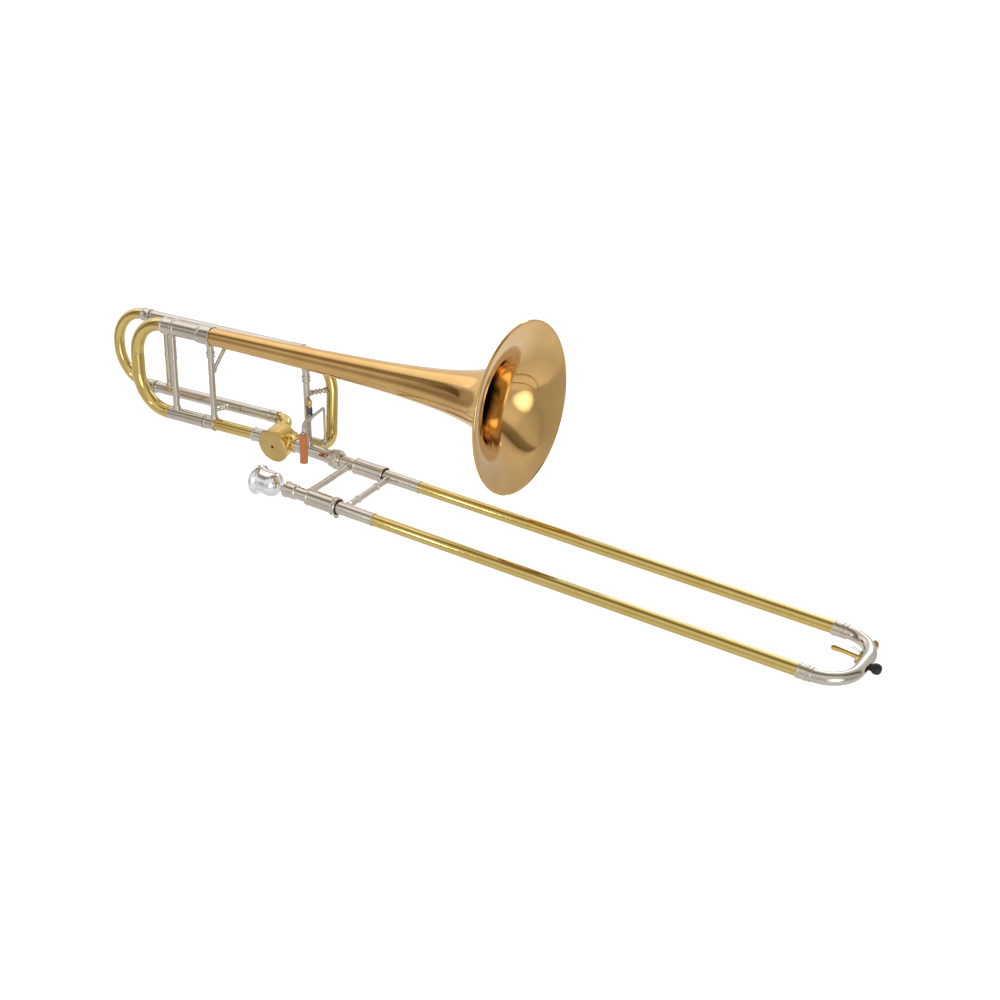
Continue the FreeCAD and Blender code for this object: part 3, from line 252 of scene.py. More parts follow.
def make_floor():
    """A white sheet that metal doesn't mirror, so that reflections show the room alone."""
    low = CAD_BOX[0][2] - FLOOR_DROP
    mesh = bpy.data.meshes.new("floor")
    half = FLOOR_HALF
    corners = [(-half, -half, low), (half, -half, low), (half, half, low), (-half, half, low)]
    mesh.from_pydata(corners, [], [(0, 1, 2, 3)])
    floor = bpy.data.objects.new("floor", mesh)
    bpy.context.scene.collection.objects.link(floor)
    floor.visible_glossy = False
    paint = bpy.data.materials.new("floor_white")
    paint.use_nodes = True
    add, link = nodes_of(paint.node_tree)
    shader = add("ShaderNodeBsdfPrincipled")
    shader.inputs["Base Color"].default_value = (0.93, 0.93, 0.93, 1)
    shader.inputs["Roughness"].default_value = 0.9
    shader.inputs["Emission Color"].default_value = (1, 1, 1, 1)
    shader.inputs["Emission Strength"].default_value = 0.55
    link(shader.outputs[0], add("ShaderNodeOutputMaterial").inputs["Surface"])
    mesh.materials.append(paint)


# ---- materials
def textured(name, build):
    material = bpy.data.materials.new(name)
    material.use_nodes = True
    add, link = nodes_of(material.node_tree)
    shader = add("ShaderNodeBsdfPrincipled")
    link(shader.outputs[0], add("ShaderNodeOutputMaterial").inputs["Surface"])
    coords = add("ShaderNodeTexCoord").outputs["Object"]
    build(add, link, shader, coords)
    return material


def noise(add, link, coords, scale, detail=4.0, stretch=None):
    source = coords
    if stretch:
        turn = add("ShaderNodeMapping")
        turn.inputs["Scale"].default_value = stretch
        link(coords, turn.inputs["Vector"])
        source = turn.outputs["Vector"]
    cloud = add("ShaderNodeTexNoise")
    cloud.inputs["Scale"].default_value = scale
    cloud.inputs["Detail"].default_value = detail
    link(source, cloud.inputs["Vector"])
    return cloud.outputs["Fac"]


def shade(add, link, value, low, high, stops=(0.3, 0.7)):
    return bands(add, link, value, [(stops[0], low), (stops[1], high)])


def relief(add, link, shader, height, distance, strength=1.0, below=None):
    bump = add("ShaderNodeBump")
    bump.inputs["Distance"].default_value = distance
    bump.inputs["Strength"].default_value = strength
    link(height, bump.inputs["Height"])
    if below is not None:
        link(below, bump.inputs["Normal"])
    link(bump.outputs["Normal"], shader.inputs["Normal"])
    return bump.outputs["Normal"]


def polished(name, deep, light, rough=0.09, spread=0.07, coat=0.0, painted_shade=None):
    """Metal with slow colour drift, hand-polish smears in the gloss and fine drawn lines."""
    def build(add, link, shader, coords):
        shader.inputs["Metallic"].default_value = 1.0
        shader.inputs["Coat Weight"].default_value = coat
        shader.inputs["Coat Roughness"].default_value = 0.04
        drift = noise(add, link, coords, 22.0, 5.0)
        color = shade(add, link, drift, deep, light)
        # Painted shade: where bands are given, the colour is darkened along the object's x, deep in the bell's
        # throat.
        if painted_shade:
            painted_dark = bands(add, link, along_x(add, link, coords), painted_shade)
            color = mixed(add, link, "MULTIPLY", color, painted_dark)
        link(color, shader.inputs["Base Color"])
        smear = noise(add, link, coords, 90.0, 6.0, (1, 3, 3))
        gloss = shade(add, link, smear, grey(rough), grey(rough + spread), (0.35, 0.8))
        link(gloss, shader.inputs["Roughness"])
        lines = noise(add, link, coords, 3.0, 2.0, (30, 900, 900))
        fine = relief(add, link, shader, lines, 0.000006, 0.35)
        waves = noise(add, link, coords, 45.0, 2.0)
        relief(add, link, shader, waves, 0.00004, 0.25, fine)
    return textured(name, build)


def along_x(add, link, coords):
    split = add("ShaderNodeSeparateXYZ")
    link(coords, split.inputs["Vector"])
    return split.outputs["X"]


def satin_turned(name, deep, light):
    """Brass faced on a lathe: rings round the valve's axis, then lacquered."""
    def build(add, link, shader, coords):
        shader.inputs["Metallic"].default_value = 1.0
        shader.inputs["Coat Weight"].default_value = 0.25
        shader.inputs["Coat Roughness"].default_value = 0.12
        drift = noise(add, link, coords, 60.0, 6.0)
        link(shade(add, link, drift, deep, light), shader.inputs["Base Color"])
        gloss = noise(add, link, coords, 240.0, 5.0)
        link(shade(add, link, gloss, grey(0.24), grey(0.36)), shader.inputs["Roughness"])
        tiny = noise(add, link, coords, 2600.0, 3.0)
        relief(add, link, shader, tiny, 0.00002, 0.5)
    return textured(name, build)


def soft_stuff(name, deep, light, scale, rough, strength, distance):
    """Rubber, cork or leather: mottled colour with pores."""
    def build(add, link, shader, coords):
        mottle = noise(add, link, coords, scale, 8.0)
        link(shade(add, link, mottle, deep, light), shader.inputs["Base Color"])
        link(shade(add, link, mottle, grey(rough), grey(rough + 0.15)), shader.inputs["Roughness"])
        pores = add("ShaderNodeTexVoronoi")
        pores.inputs["Scale"].default_value = scale * 3.0
        link(coords, pores.inputs["Vector"])
        first = relief(add, link, shader, pores.outputs["Distance"], distance, strength)
        relief(add, link, shader, mottle, distance, strength, first)
    return textured(name, build)


# The bell's inside by the row's X in metres: painted shade, dark deep in the throat and clear from there out.
THROAT_PAINTED_SHADE = [(0.262, (0.05, 0.035, 0.02)), (0.276, (1, 1, 1))]
# name, deep colour, light colour, roughness, its spread, lacquer and painted throat shade
POLISHED = [
    ("rose_brass", (0.68, 0.41, 0.14), (0.76, 0.48, 0.18), 0.07, 0.07, 0.3),
    # The bell's inside: the same brass with painted shade deep in the throat.
    ("throat_brass", (0.68, 0.41, 0.14), (0.76, 0.48, 0.18), 0.07, 0.07, 0.3, THROAT_PAINTED_SHADE),
    ("yellow_brass", (0.66, 0.48, 0.14), (0.74, 0.55, 0.19), 0.06, 0.06, 0.4),
    ("bright_gold", (0.72, 0.48, 0.13), (0.82, 0.58, 0.20), 0.06, 0.06, 0.3),
    ("nickel_silver", (0.60, 0.54, 0.46), (0.70, 0.64, 0.56), 0.09, 0.08),
    ("chromed_tube", (0.66, 0.65, 0.64), (0.74, 0.73, 0.72), 0.04, 0.04),
    ("silver_plate", (0.84, 0.83, 0.84), (0.92, 0.91, 0.92), 0.05, 0.05),
    ("steel", (0.40, 0.38, 0.36), (0.52, 0.50, 0.48), 0.18, 0.10),
    ("blued_steel", (0.10, 0.12, 0.16), (0.18, 0.21, 0.27), 0.22, 0.12),
]
# name, deep colour, light colour, pattern scale, roughness, relief strength and its depth in metres
SOFT = [
    ("brown_leather", (0.36, 0.11, 0.03), (0.62, 0.22, 0.07), 700.0, 0.26, 0.5, 0.00012),
    ("black_rubber", grey(0.004), grey(0.012), 900.0, 0.42, 0.4, 0.0001),
    ("cork", (0.30, 0.17, 0.08), (0.52, 0.33, 0.17), 1100.0, 0.7, 0.6, 0.0002),
]


def make_materials():
    made = {row[0]: polished(*row) for row in POLISHED}
    made.update({row[0]: soft_stuff(*row) for row in SOFT})
    made["gold_lacquer"] = satin_turned("gold_lacquer", (0.60, 0.40, 0.13), (0.72, 0.50, 0.20))
    return made


# ---- mesh helpers
def piece(name, points, faces, body, slot, node=None, material=None):
    """One smooth mesh in the row frame, riding on a body and standing for a CAD node."""
    mesh = bpy.data.meshes.new(name)
    mesh.from_pydata([tuple(p * MM) for p in points], [], faces)
    mesh.validate()
    mesh.polygons.foreach_set("use_smooth", [True] * len(mesh.polygons))
    thing = bpy.data.objects.new(name, mesh)
    bpy.context.scene.collection.objects.link(thing)
    mesh.materials.append(MATERIALS[material or slot])
    even = thing.modifiers.new("even_normals", "WEIGHTED_NORMAL")
    even.keep_sharp = True
    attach(thing, body)
    if node:
        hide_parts(node)
    return thing


class Shape:
    """Points and faces gathered from several parts before they become one piece."""

    def __init__(self):
        self.points, self.faces = [], []

    def add(self, points, faces):
        base = len(self.points)
        self.points += points
        self.faces += [tuple(base + i for i in face) for face in faces]
        return self

    def make(self, name, body, slot, node=None, material=None):
        return piece(name, self.points, self.faces, body, slot, node, material)


def rounded(corners, radius, steps=4):
    """A closed outline with its corners turned into small arcs."""
    smooth = []
    count = len(corners)
    for i, corner in enumerate(corners):
        here = Vector((*corner, 0))
        before = Vector((*corners[i - 1], 0)) - here
        after = Vector((*corners[(i + 1) % count], 0)) - here
        if before.length < 1e-6 or after.length < 1e-6:
            continue
        turn = before.angle(after)
        if turn > math.radians(172) or corner[1] < 1e-6:
            smooth.append((here.x, here.y))
            continue
        reach = min(radius / math.tan(turn / 2), before.length * 0.45, after.length * 0.45)
        start, end = here + before.normalized() * reach, here + after.normalized() * reach
        smooth += [(spot.x, spot.y) for spot in quarter_bend(start, here, end, steps)]
    return smooth


def round_axis(place, along, radius, angle):
    """The point at a distance along the place's x axis, out from it at an angle."""
    return place @ Vector((along, radius * math.cos(angle), radius * math.sin(angle)))


def turned(corners, place, radius=0.25, rings=RINGS):
    """A solid of revolution about the place's x axis, from (along, radius) corners."""
    outline = rounded(corners, radius) if radius else corners
    points, faces = [], []
    for along, size in outline:
        points += [round_axis(place, along, size, 2 * math.pi * k / rings) for k in range(rings)]
    count = len(outline)
    for i in range(count):
        j = (i + 1) % count
        if outline[i][1] < 1e-6 and outline[j][1] < 1e-6:
            continue
        for k in range(rings):
            n = (k + 1) % rings
            faces.append((i * rings + k, j * rings + k, j * rings + n, i * rings + n))
    return points, faces


def skin(rows, count, turned_over=False):
    """Faces over rows of points, closed at both ends."""
    faces = []
    for i in range(rows - 1):
        a, b = i * count, (i + 1) * count
        for k in range(count):
            n = (k + 1) % count
            ring = (a + n, b + n, b + k) if turned_over else (b + k, b + n, a + n)
            faces.append((a + k, *ring))
    first, last = range(count), range((rows - 1) * count, rows * count)
    ends = (reversed(first), last) if turned_over else (first, reversed(last))
    return faces + [tuple(end) for end in ends]


def ahead_of(path, i):
    """The way a path runs at one of its points."""
    return (path[min(i + 1, len(path) - 1)] - path[max(i - 1, 0)]).normalized()


def along_path(path, outline, ups):
    """Sweep an outline of (side, up) offsets along a path, closed at both ends."""
    points = []
    for i, spot in enumerate(path):
        ahead = ahead_of(path, i)
        up = ups[i] if isinstance(ups, list) else ups
        side = ahead.cross(up).normalized()
        up = side.cross(ahead).normalized()
        points += [spot + side * u + up * v for u, v in outline]
    return points, skin(len(path), len(outline))


def circle(radius, count):
    return [(radius * math.cos(2 * math.pi * k / count), radius * math.sin(2 * math.pi * k / count))
            for k in range(count)]


def quarter_bend(start, corner, end, steps):
    """Points that cut a corner with a smooth arc."""
    shares = [step / steps for step in range(steps + 1)]
    return [start * (1 - share) ** 2 + corner * 2 * share * (1 - share) + end * share ** 2
            for share in shares]


def bar_outline(width, height, soft=0.45):
    """Outline of a bar with rounded edges, centred on its path."""
    w, h, lift = width / 2, height / 2, 10 * height
    corners = [(-w, lift - h), (w, lift - h), (w, lift + h), (-w, lift + h)]
    return [(x, y - lift) for x, y in rounded(corners, soft, 3)]


def wire(path, radius, count=16):
    """A round wire through points, its frame carried smoothly along."""
    ups = []
    up = None
    for i in range(len(path)):
        ahead = ahead_of(path, i)
        if up is None:
            up = ahead.orthogonal().normalized()
        up = (up - ahead * up.dot(ahead)).normalized()
        ups.append(up)
    return along_path(path, circle(radius, count), ups)


def smooth_path(spots, bend, steps=8):
    """Straight runs through the spots with rounded corners."""
    path = [spots[0]]
    for before, here, after in zip(spots, spots[1:], spots[2:]):
        back, on = before - here, after - here
        reach = min(bend, back.length * 0.48, on.length * 0.48)
        start, end = here + back.normalized() * reach, here + on.normalized() * reach
        path += quarter_bend(start, here, end, steps)
    path.append(spots[-1])
    return path


def bow_line(start, gap, bend, way, lead, back=None, back_bend=None, step=1.6):
    """Centre line of a bow in its own xy plane: lead, bend, straight, bend, lead."""
    back = start if back is None else back
    back_bend = bend if back_bend is None else back_bend
    side = 1 if gap > 0 else -1
    turn_x = start + lead * way
    far_x = turn_x + bend * way
    back_x = far_x - back_bend * way
    line = [Vector((start, 0, 0))]
    for centre_x, centre_y, size, first in ((turn_x, side * bend, bend, 0),
                                            (back_x, gap - side * back_bend, back_bend, 1)):
        count = max(6, int(size * math.pi / 2 / step))
        for k in range(count + 1):
            a = math.pi / 2 * (k / count + first)
            line.append(Vector((centre_x + way * size * math.sin(a),
                                centre_y - side * size * math.cos(a), 0)))
    line.append(Vector((back, gap, 0)))
    return line


def pipe(place, line, radius, bore, count=RINGS * 2 // 3):
    """A bent tube with a wall, its ends open."""
    points, faces = [], []
    normal = Vector((0, 0, 1))
    for i, spot in enumerate(line):
        side = ahead_of(line, i).cross(normal)
        for size in (radius, bore):
            points += [place @ (spot + side * u + normal * v) for u, v in circle(size, count)]
    row = 2 * count
    for i in range(len(line) - 1):
        for k in range(count):
            n = (k + 1) % count
            faces.append((i * row + k, i * row + n, (i + 1) * row + n, (i + 1) * row + k))
            faces.append((i * row + count + k, (i + 1) * row + count + k,
                          (i + 1) * row + count + n, i * row + count + n))
    for i in (0, len(line) - 1):
        for k in range(count):
            n = (k + 1) % count
            ring = (i * row + k, i * row + count + k, i * row + count + n, i * row + n)
            faces.append(ring if i == 0 else ring[::-1])
    return points, faces


# ---- places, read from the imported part
RECORD = frame["record"]
JOINTS = {joint["name"]: joint for joint in frame["joints"]}
MOUNTS = {mount["name"]: mount for mount in RECORD["mounts"]}


def centre(node):
    low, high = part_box(node)
    return (low + high) / 2 / MM


def frame_of(origin, x_axis, y_hint):
    """A place: its origin, its x axis, and the side of it that y lies on."""
    x = Vector(x_axis).normalized()
    z = x.cross(Vector(y_hint)).normalized()
    y = z.cross(x)
    return Matrix.Translation(origin) @ Matrix((x, y, z)).transposed().to_4x4()


def upright(x, y):
    """A place whose x axis points up, at a point of the plan."""
    return frame_of((x, y, 0), UPWARDS, ALONG_X)


def level(node=None, height=0):
    """A place that lies along the row's X, through a node's middle or at a height."""
    middle = centre(node) if node else Vector((0, 0, height))
    return frame_of((0, middle.y, middle.z), ALONG_X, ALONG_Y)


BELL = level(height=MOUNTS["bell_mouth"]["pos_m"][2] / MM)
MAIN = level(height=centre("main_inner_leg").z)
F_UPPER = level("f_upper_tube")
F_LOWER = level("f_lower_tube")
SLIDE_WAY = Vector(JOINTS["hand_slide"]["axis"])
SLIDE_SIDE = Vector(JOINTS["water_key_lift"]["axis"])
SWIVEL = Vector(JOINTS["slide_swivel"]["pos_m"]) / MM
# The slide's places start this far behind the swivel's centre; its legs lie this far apart.
SWIVEL_ALONG, LEG_GAP = 50.0, 101.0
SLIDE = frame_of(SWIVEL - SLIDE_WAY * SWIVEL_ALONG, SLIDE_WAY, SLIDE_SIDE)
NEAR = SLIDE @ Matrix.Translation((0, -LEG_GAP, 0))
ROTOR_AXIS = -Vector(JOINTS["rotor_turn"]["axis"])
VALVE_AT = Vector(JOINTS["rotor_turn"]["pos_m"]) / MM
# x backwards along the rotor's axis, y along the row's X.
DRUM = frame_of(VALVE_AT, ROTOR_AXIS, ALONG_X)
VALVE_UP = Vector(ALONG_X).cross(ROTOR_AXIS).normalized()
DOWN = Matrix.Rotation(math.radians(-90), 4, "X")

make_camera()
MATERIALS = make_materials()
bpy.context.scene.view_settings.view_transform = "Standard"
make_world()
make_lights()
make_floor()


def sleeve(start, end, radius, bore, bead=0.55, length=2.2):
    """A ferrule: a thin sleeve with a bead at each end."""
    top = radius + bead
    return [(start, bore), (end, bore), (end, radius + 0.25), (end - 0.4, top), (end - length, top),
            (end - length - 0.4, radius), (start + length + 0.4, radius), (start + length, top),
            (start + 0.4, top), (start, radius + 0.25)]


def tube(start, end, radius, bore):
    return [(start, bore), (end, bore), (end, radius), (start, radius)]


# ---- bell section
RIM, TAIL = 327.0, -157.0
BELL_WALL, BELL_STEPS, BELL_RINGS = 0.8, 150, 192
# The radii where the skin's outside and inside run into the rolled rim, and the roll itself.
LIP_OUTSIDE, LIP_INSIDE = 104.2, 104.6
ROLL_MIDDLE, ROLL_RADIUS = Vector((RIM - 1.0, 106.15)), 1.85


def flare(along):
    """The bell's outside radius: it grows by a power of the distance left to the rim."""
    return 3.6 + 672.0 * (RIM + 14.4 - along) ** -0.6976


def make_bell():
    """The flare in one smooth skin, its rim rolled over a wire."""
    outside, inside = [], []
    for k in range(BELL_STEPS + 1):
        share = 1 - (1 - k / BELL_STEPS) ** 2.2
        along = TAIL + (RIM - 0.35 - TAIL) * share
        slope = flare(along + 0.4) - flare(along - 0.4)
        normal = Vector((slope / 0.8, -1)).normalized()
        outside.append((along, flare(along)))
        inside.append((along + normal.x * BELL_WALL, flare(along) + normal.y * BELL_WALL))
    outside = [spot for spot in outside if spot[1] < LIP_OUTSIDE]
    inside = [spot for spot in inside if spot[1] < LIP_INSIDE]
    roll = []
    for k in range(22):
        a = math.radians(-118 - k * 300 / 21)
        roll.append((ROLL_MIDDLE.x + ROLL_RADIUS * math.cos(a),
                     ROLL_MIDDLE.y + ROLL_RADIUS * math.sin(a)))
    wall = turned(outside + roll + inside[::-1], BELL, 0, BELL_RINGS)
    horn = piece("bell_skin", *wall, "bell_section", "rose_brass", "bell")
    # The inside faces take throat_brass, whose colour carries painted shade deep in the throat.
    horn.data.materials.append(MATERIALS["throat_brass"])
    first = (len(outside) + len(roll)) * BELL_RINGS
    for face in horn.data.polygons[first:]:
        face.material_index = 1


make_bell()

TURNED = [
    # name, body, slot, place, corners, replaced node
    ("bell_ferrule_ring", "bell_section", "nickel_silver", BELL, [
        (-178, 11.35), (-158, 11.35), (-158, 12.62), (-154, 12.72), (-154, 13.1), (-154.6, 13.5),
        (-171, 13.2), (-174, 12.4), (-175.4, 12.9), (-177.6, 12.9),
        (-178, 12.5)], "bell_ferrule"),
    ("neck_tube_shell", "bell_section", "nickel_silver", BELL, [
        (-221, 10.06), (-158, 10.06), (-158, 11.3), (-218, 11.3), (-218.4, 11.75), (-221, 11.75)],
     "neck_tube"),
    ("inlet_rear_ring", "bell_section", "nickel_silver", MAIN, sleeve(-175.4, -157.4, 9.25, 8.3),
     "inlet_rear_ferrule"),
    ("inner_leg_tube", "bell_section", "nickel_silver", MAIN, tube(-236, -168.4, 8.2, 7.4),
     "main_inner_leg"),
    ("inlet_tube", "bell_section", "yellow_brass", MAIN, tube(-168.3, -84, 8.2, 7.4),
     "valve_inlet_tube"),
    ("inlet_front_ring", "bell_section", "nickel_silver", MAIN, sleeve(-92, -75, 9.2, 8.3),
     "inlet_front_ferrule"),
    ("main_ferrule_ring", "main_slide_body", "nickel_silver", BELL, [
        (-243.6, 9.32), (-240, 9.32), (-240, 10.02), (-221.8, 10.02), (-221.8, 11.3),
        (-222.4, 11.6), (-224.4, 11.6), (-225, 11.0), (-239, 11.0), (-239.6, 11.5),
        (-241.6, 11.5), (-242.2, 10.6), (-243.6, 10.2)], "main_slide_ferrule"),
    ("main_upper_tube", "main_slide_body", "nickel_silver", BELL, tube(-240, -160, 10.0, 9.2),
     "main_upper_leg"),
    ("main_lower_tube", "main_slide_body", "nickel_silver", MAIN, [
        (-240, 8.26), (-176, 8.26), (-176, 9.8), (-179.2, 9.8), (-179.6, 9.3), (-240, 9.3)],
     "main_lower_leg"),
    ("f_upper_shell", "bell_section", "nickel_silver", F_UPPER, [
        (-294.8, 7.5), (-40.5, 7.5), (-40.5, 7.75), (-31, 7.75), (-31, 8.6), (-31.6, 9.1),
        (-33.4, 9.1), (-34, 8.7), (-46, 8.7), (-46.4, 9.1), (-48.2, 9.1), (-48.8, 8.3),
        (-292.6, 8.3), (-293, 8.7), (-294.8, 8.7)], "f_upper_tube"),
    ("f_lower_shell", "bell_section", "nickel_silver", F_LOWER, [
        (-294.8, 7.5), (-84, 7.5), (-84, 7.75), (-77, 7.75), (-77, 8.6), (-77.6, 9.1), (-79.4, 9.1),
        (-80, 8.7), (-89, 8.7), (-89.4, 9.1), (-91.2, 9.1), (-91.8, 8.2), (-292.6, 8.2),
        (-293, 8.7), (-294.8, 8.7)], "f_lower_tube"),
    ("valve_cap_disc", "bell_section", "gold_lacquer", DRUM, [
        (-17.0, 2.2), (-13.15, 2.2), (-13.15, 23.2), (-16.1, 23.2), (-17.0, 22.3), (-17.0, 19.8),
        (-16.8, 19.5), (-17.0, 19.2)], "valve_cap"),
    ("receiver_tube", "bell_section", "nickel_silver", SLIDE, [
        (-0.2, 7.6), (70, 7.6), (70, 9.1), (69.5, 9.6), (66, 9.6), (65.5, 8.95), (64.5, 8.9),
        (59, 8.9), (58.7, 9.5), (57.4, 9.5), (57.1, 8.9), (-0.2, 8.9)], "slide_receiver"),
    ("tenon_tube", "inner_slide", "nickel_silver", SLIDE, [
        (30, 6.4), (102.9, 6.4), (102.9, 8.1), (74, 8.1), (73.8, 9.3), (71, 9.3), (71, 7.53),
        (30.6, 7.53), (30, 7.2)], "slide_tenon"),
    ("far_barrel_shell", "inner_slide", "nickel_silver", SLIDE, [
        (103, 7.27), (106, 7.27), (106, 9.9), (150, 9.9), (150, 11.2), (149.5, 11.6), (146.4, 11.6),
        (145.9, 10.7), (106.5, 10.7), (106, 11.2), (104.2, 11.2), (103.8, 9.6), (103, 9.2)],
     "far_barrel"),
    ("near_barrel_shell", "inner_slide", "nickel_silver", NEAR, [
        (103, 7.27), (106, 7.27), (106, 9.9), (150, 9.9), (150, 10.7), (106.5, 10.7), (106, 11.2),
        (104.2, 11.2), (103.8, 9.6), (103, 9.2)], "near_barrel"),
    ("mouthpiece_socket", "inner_slide", "nickel_silver", NEAR, [
        (67.5, 6.7), (91.6, 6.09), (91.6, 6.52), (102.9, 6.52), (102.9, 8.4), (86, 8.4), (85, 9.5),
        (84, 9.9), (72, 9.9), (71.5, 10.7), (68.1, 10.7), (67.5, 10.1)], "mouthpiece_receiver"),
    ("leadpipe_tube", "inner_slide", "nickel_silver", NEAR, [
        (92, 5.75), (190, 6.1), (190, 6.5), (92, 6.5)], "leadpipe"),
    ("roller_sleeve", "lever_body", "brown_leather", upright(*centre("thumb_roller").xy), [
        (-72, 0), (-69.1, 0), (-69.1, 1.82), (-31, 1.82), (-31, 4.4), (-31.5, 5.15), (-32.2, 5.4),
        (-70.8, 5.4), (-71.6, 5.1), (-72, 4.4)], "thumb_roller"),
]
for name, body, slot, place, corners, node in TURNED:
    piece(name, *turned(corners, place), body, slot, node)

PAIRS = [
    ("inner_tube_pair", "inner_slide", "chromed_tube", tube(103.1, 769, 7.25, 6.6),
     "inner_tubes"),
    ("barrel_cork_pair", "inner_slide", "cork", tube(122, 131, 9.85, 7.28), "barrel_corks"),
    ("sleeve_pair", "outer_slide", "nickel_silver", [
        (132, 7.78), (205, 7.78), (205, 8.15), (204.6, 8.7), (203, 8.7), (202.6, 8.35),
        (132, 8.35)],
     "outer_sleeves"),
    ("outer_tube_pair", "outer_slide", "yellow_brass", tube(132, 779, 7.75, 7.34),
     "outer_tubes"),
    ("bow_ferrule_pair", "outer_slide", "nickel_silver", [
        (770, 7.78), (787, 7.78), (787, 8.4), (786.5, 8.75), (784, 8.75), (783.5, 8.3), (782, 8.3),
        (781.6, 9.1), (779.6, 9.1), (779.2, 8.8), (772.4, 8.8), (772, 9.2), (770.4, 9.2),
        (770, 8.9)],
     "slide_ferrules"),
]
for name, body, slot, corners, node in PAIRS:
    both = Shape()
    for leg in (SLIDE, NEAR):
        both.add(*turned(corners, leg))
    both.make(name, body, slot, node)


# The F section's radius and bore, how far its ports lie off the rotor's axis, and the depth of
# the tube that comes back from the valve.
F_TUBE = (7.7, 6.9)
PORT_OFFSET, RETURN_DEPTH = 8.63, 26.5


def make_bows():
    """The four bows and the two short bends at the valve."""
    gap = BELL.translation.z - MAIN.translation.z
    height = F_UPPER.translation.z - F_LOWER.translation.z
    for name, body, slot, place, line, radius, bore, node in (
            ("main_bow", "main_slide_body", "yellow_brass", BELL @ DOWN,
             bow_line(-240.1, gap, 50.0, -1, 4.0), 9.3, 8.5, "main_crook"),
            ("f_bow", "f_slide_body", "yellow_brass", F_UPPER @ DOWN,
             bow_line(-301.0, height, 51.0, -1, 10.0), *F_TUBE, "f_crook"),
            ("slide_bow_tube", "outer_slide", "nickel_silver", SLIDE,
             bow_line(779.2, -LEG_GAP, 39.0, 1, 7.8), 7.75, 7.34, "slide_bow")):
        piece(name, *pipe(place, line, radius, bore), body, slot, node)
    low_side = valve_point(RETURN_DEPTH, PORT_OFFSET, -PORT_OFFSET)
    drop = low_side - F_UPPER.translation
    drop.x = 0
    tilt = frame_of(F_UPPER.translation, ALONG_X, drop)
    line = bow_line(-40.0, drop.length, 48.0, 1, 9.0, -27.77, 21.0)
    piece("front_bow", *pipe(tilt, line, *F_TUBE), "bell_section", "yellow_brass", "front_crook")
    for name, x, up, plane, bend, way, tail, node in (
            ("rear_bend", -PORT_OFFSET, PORT_OFFSET, 38.08, 16.0, -1, 10.0, "rear_elbow"),
            ("return_bend", PORT_OFFSET, -PORT_OFFSET, RETURN_DEPTH, 11.0, 1, 0.5, "return_elbow")):
        spots = [valve_point(8.9, x, up), valve_point(plane - bend, x, up)]
        for k in range(13):
            a = math.pi / 2 * k / 12
            spots.append(valve_point(plane - bend + bend * math.sin(a),
                                     x + way * bend * (1 - math.cos(a)), up))
        spots.append(valve_point(plane, x + way * (bend + tail), up))
        piece(name, *bent_tube(spots, *F_TUBE), "bell_section", "yellow_brass", node)


def valve_point(depth, x, up):
    """A point given by its depth backwards along the rotor, along the row's X, and up across it."""
    return VALVE_AT + ROTOR_AXIS * depth + Vector(ALONG_X) * x + VALVE_UP * up


def bent_tube(line, radius, bore):
    normal = (line[-1] - line[-2]).cross(line[1] - line[0]).normalized()
    turn = Matrix((line[0] - line[1], normal.cross(line[0] - line[1]), normal))
    basis = Matrix([row.normalized() for row in turn]).transposed().to_4x4()
    place = Matrix.Translation(line[0]) @ basis
    back = place.inverted()
    return pipe(place, [back @ spot for spot in line], radius, bore)


make_bows()


# ---- braces with soldered flanges
# Angles round a level tube: its top and its underside.
UP, LOW = math.radians(90), math.radians(-90)


def post(start, end, corners, radius=0.5):
    """A turned post from start to end; corners are (share of its length, radius)."""
    way = end - start
    place = frame_of(start, way, way.orthogonal())
    back = [(way.length * share, size) for share, size in reversed(corners)]
    return turned([(0, 0), (way.length, 0)] + back, place, radius, 64)


HAND_POST = [(0, 4.9), (0.09, 4.9), (0.1, 5.9), (0.128, 5.9), (0.138, 5.1), (0.145, 5.1),
             (0.155, 5.7), (0.172, 5.7), (0.182, 4.4), (0.95, 4.4), (0.96, 5.0), (1, 5.0)]
TUNING_POST = [(0, 5.0), (0.3, 5.0), (0.305, 5.5), (0.335, 5.5), (0.34, 4.6), (0.95, 4.6),
               (0.96, 5.1), (1, 5.1)]
PLAIN_POST = [(0, 4.4), (0.05, 4.4), (0.06, 3.9), (0.465, 3.9), (0.475, 4.5), (0.525, 4.5),
              (0.535, 3.9), (0.94, 3.9), (0.95, 4.4), (1, 4.4)]
SLIDE_POST = [(0, 4.9), (0.05, 4.9), (0.08, 4.3), (0.42, 4.3), (0.43, 4.9), (0.44, 4.9),
              (0.445, 4.6), (0.555, 4.6), (0.56, 4.9), (0.57, 4.9), (0.58, 4.3), (0.92, 4.3),
              (0.95, 4.9), (1, 4.9)]
HAND_GRIP = [(0, 5.0), (0.05, 5.0), (0.09, 4.4), (0.25, 4.4), (0.26, 5.3), (0.285, 5.3),
             (0.295, 4.3), (0.705, 4.3), (0.715, 5.3), (0.74, 5.3), (0.75, 4.4), (0.91, 4.4),
             (0.95, 5.0), (1, 5.0)]
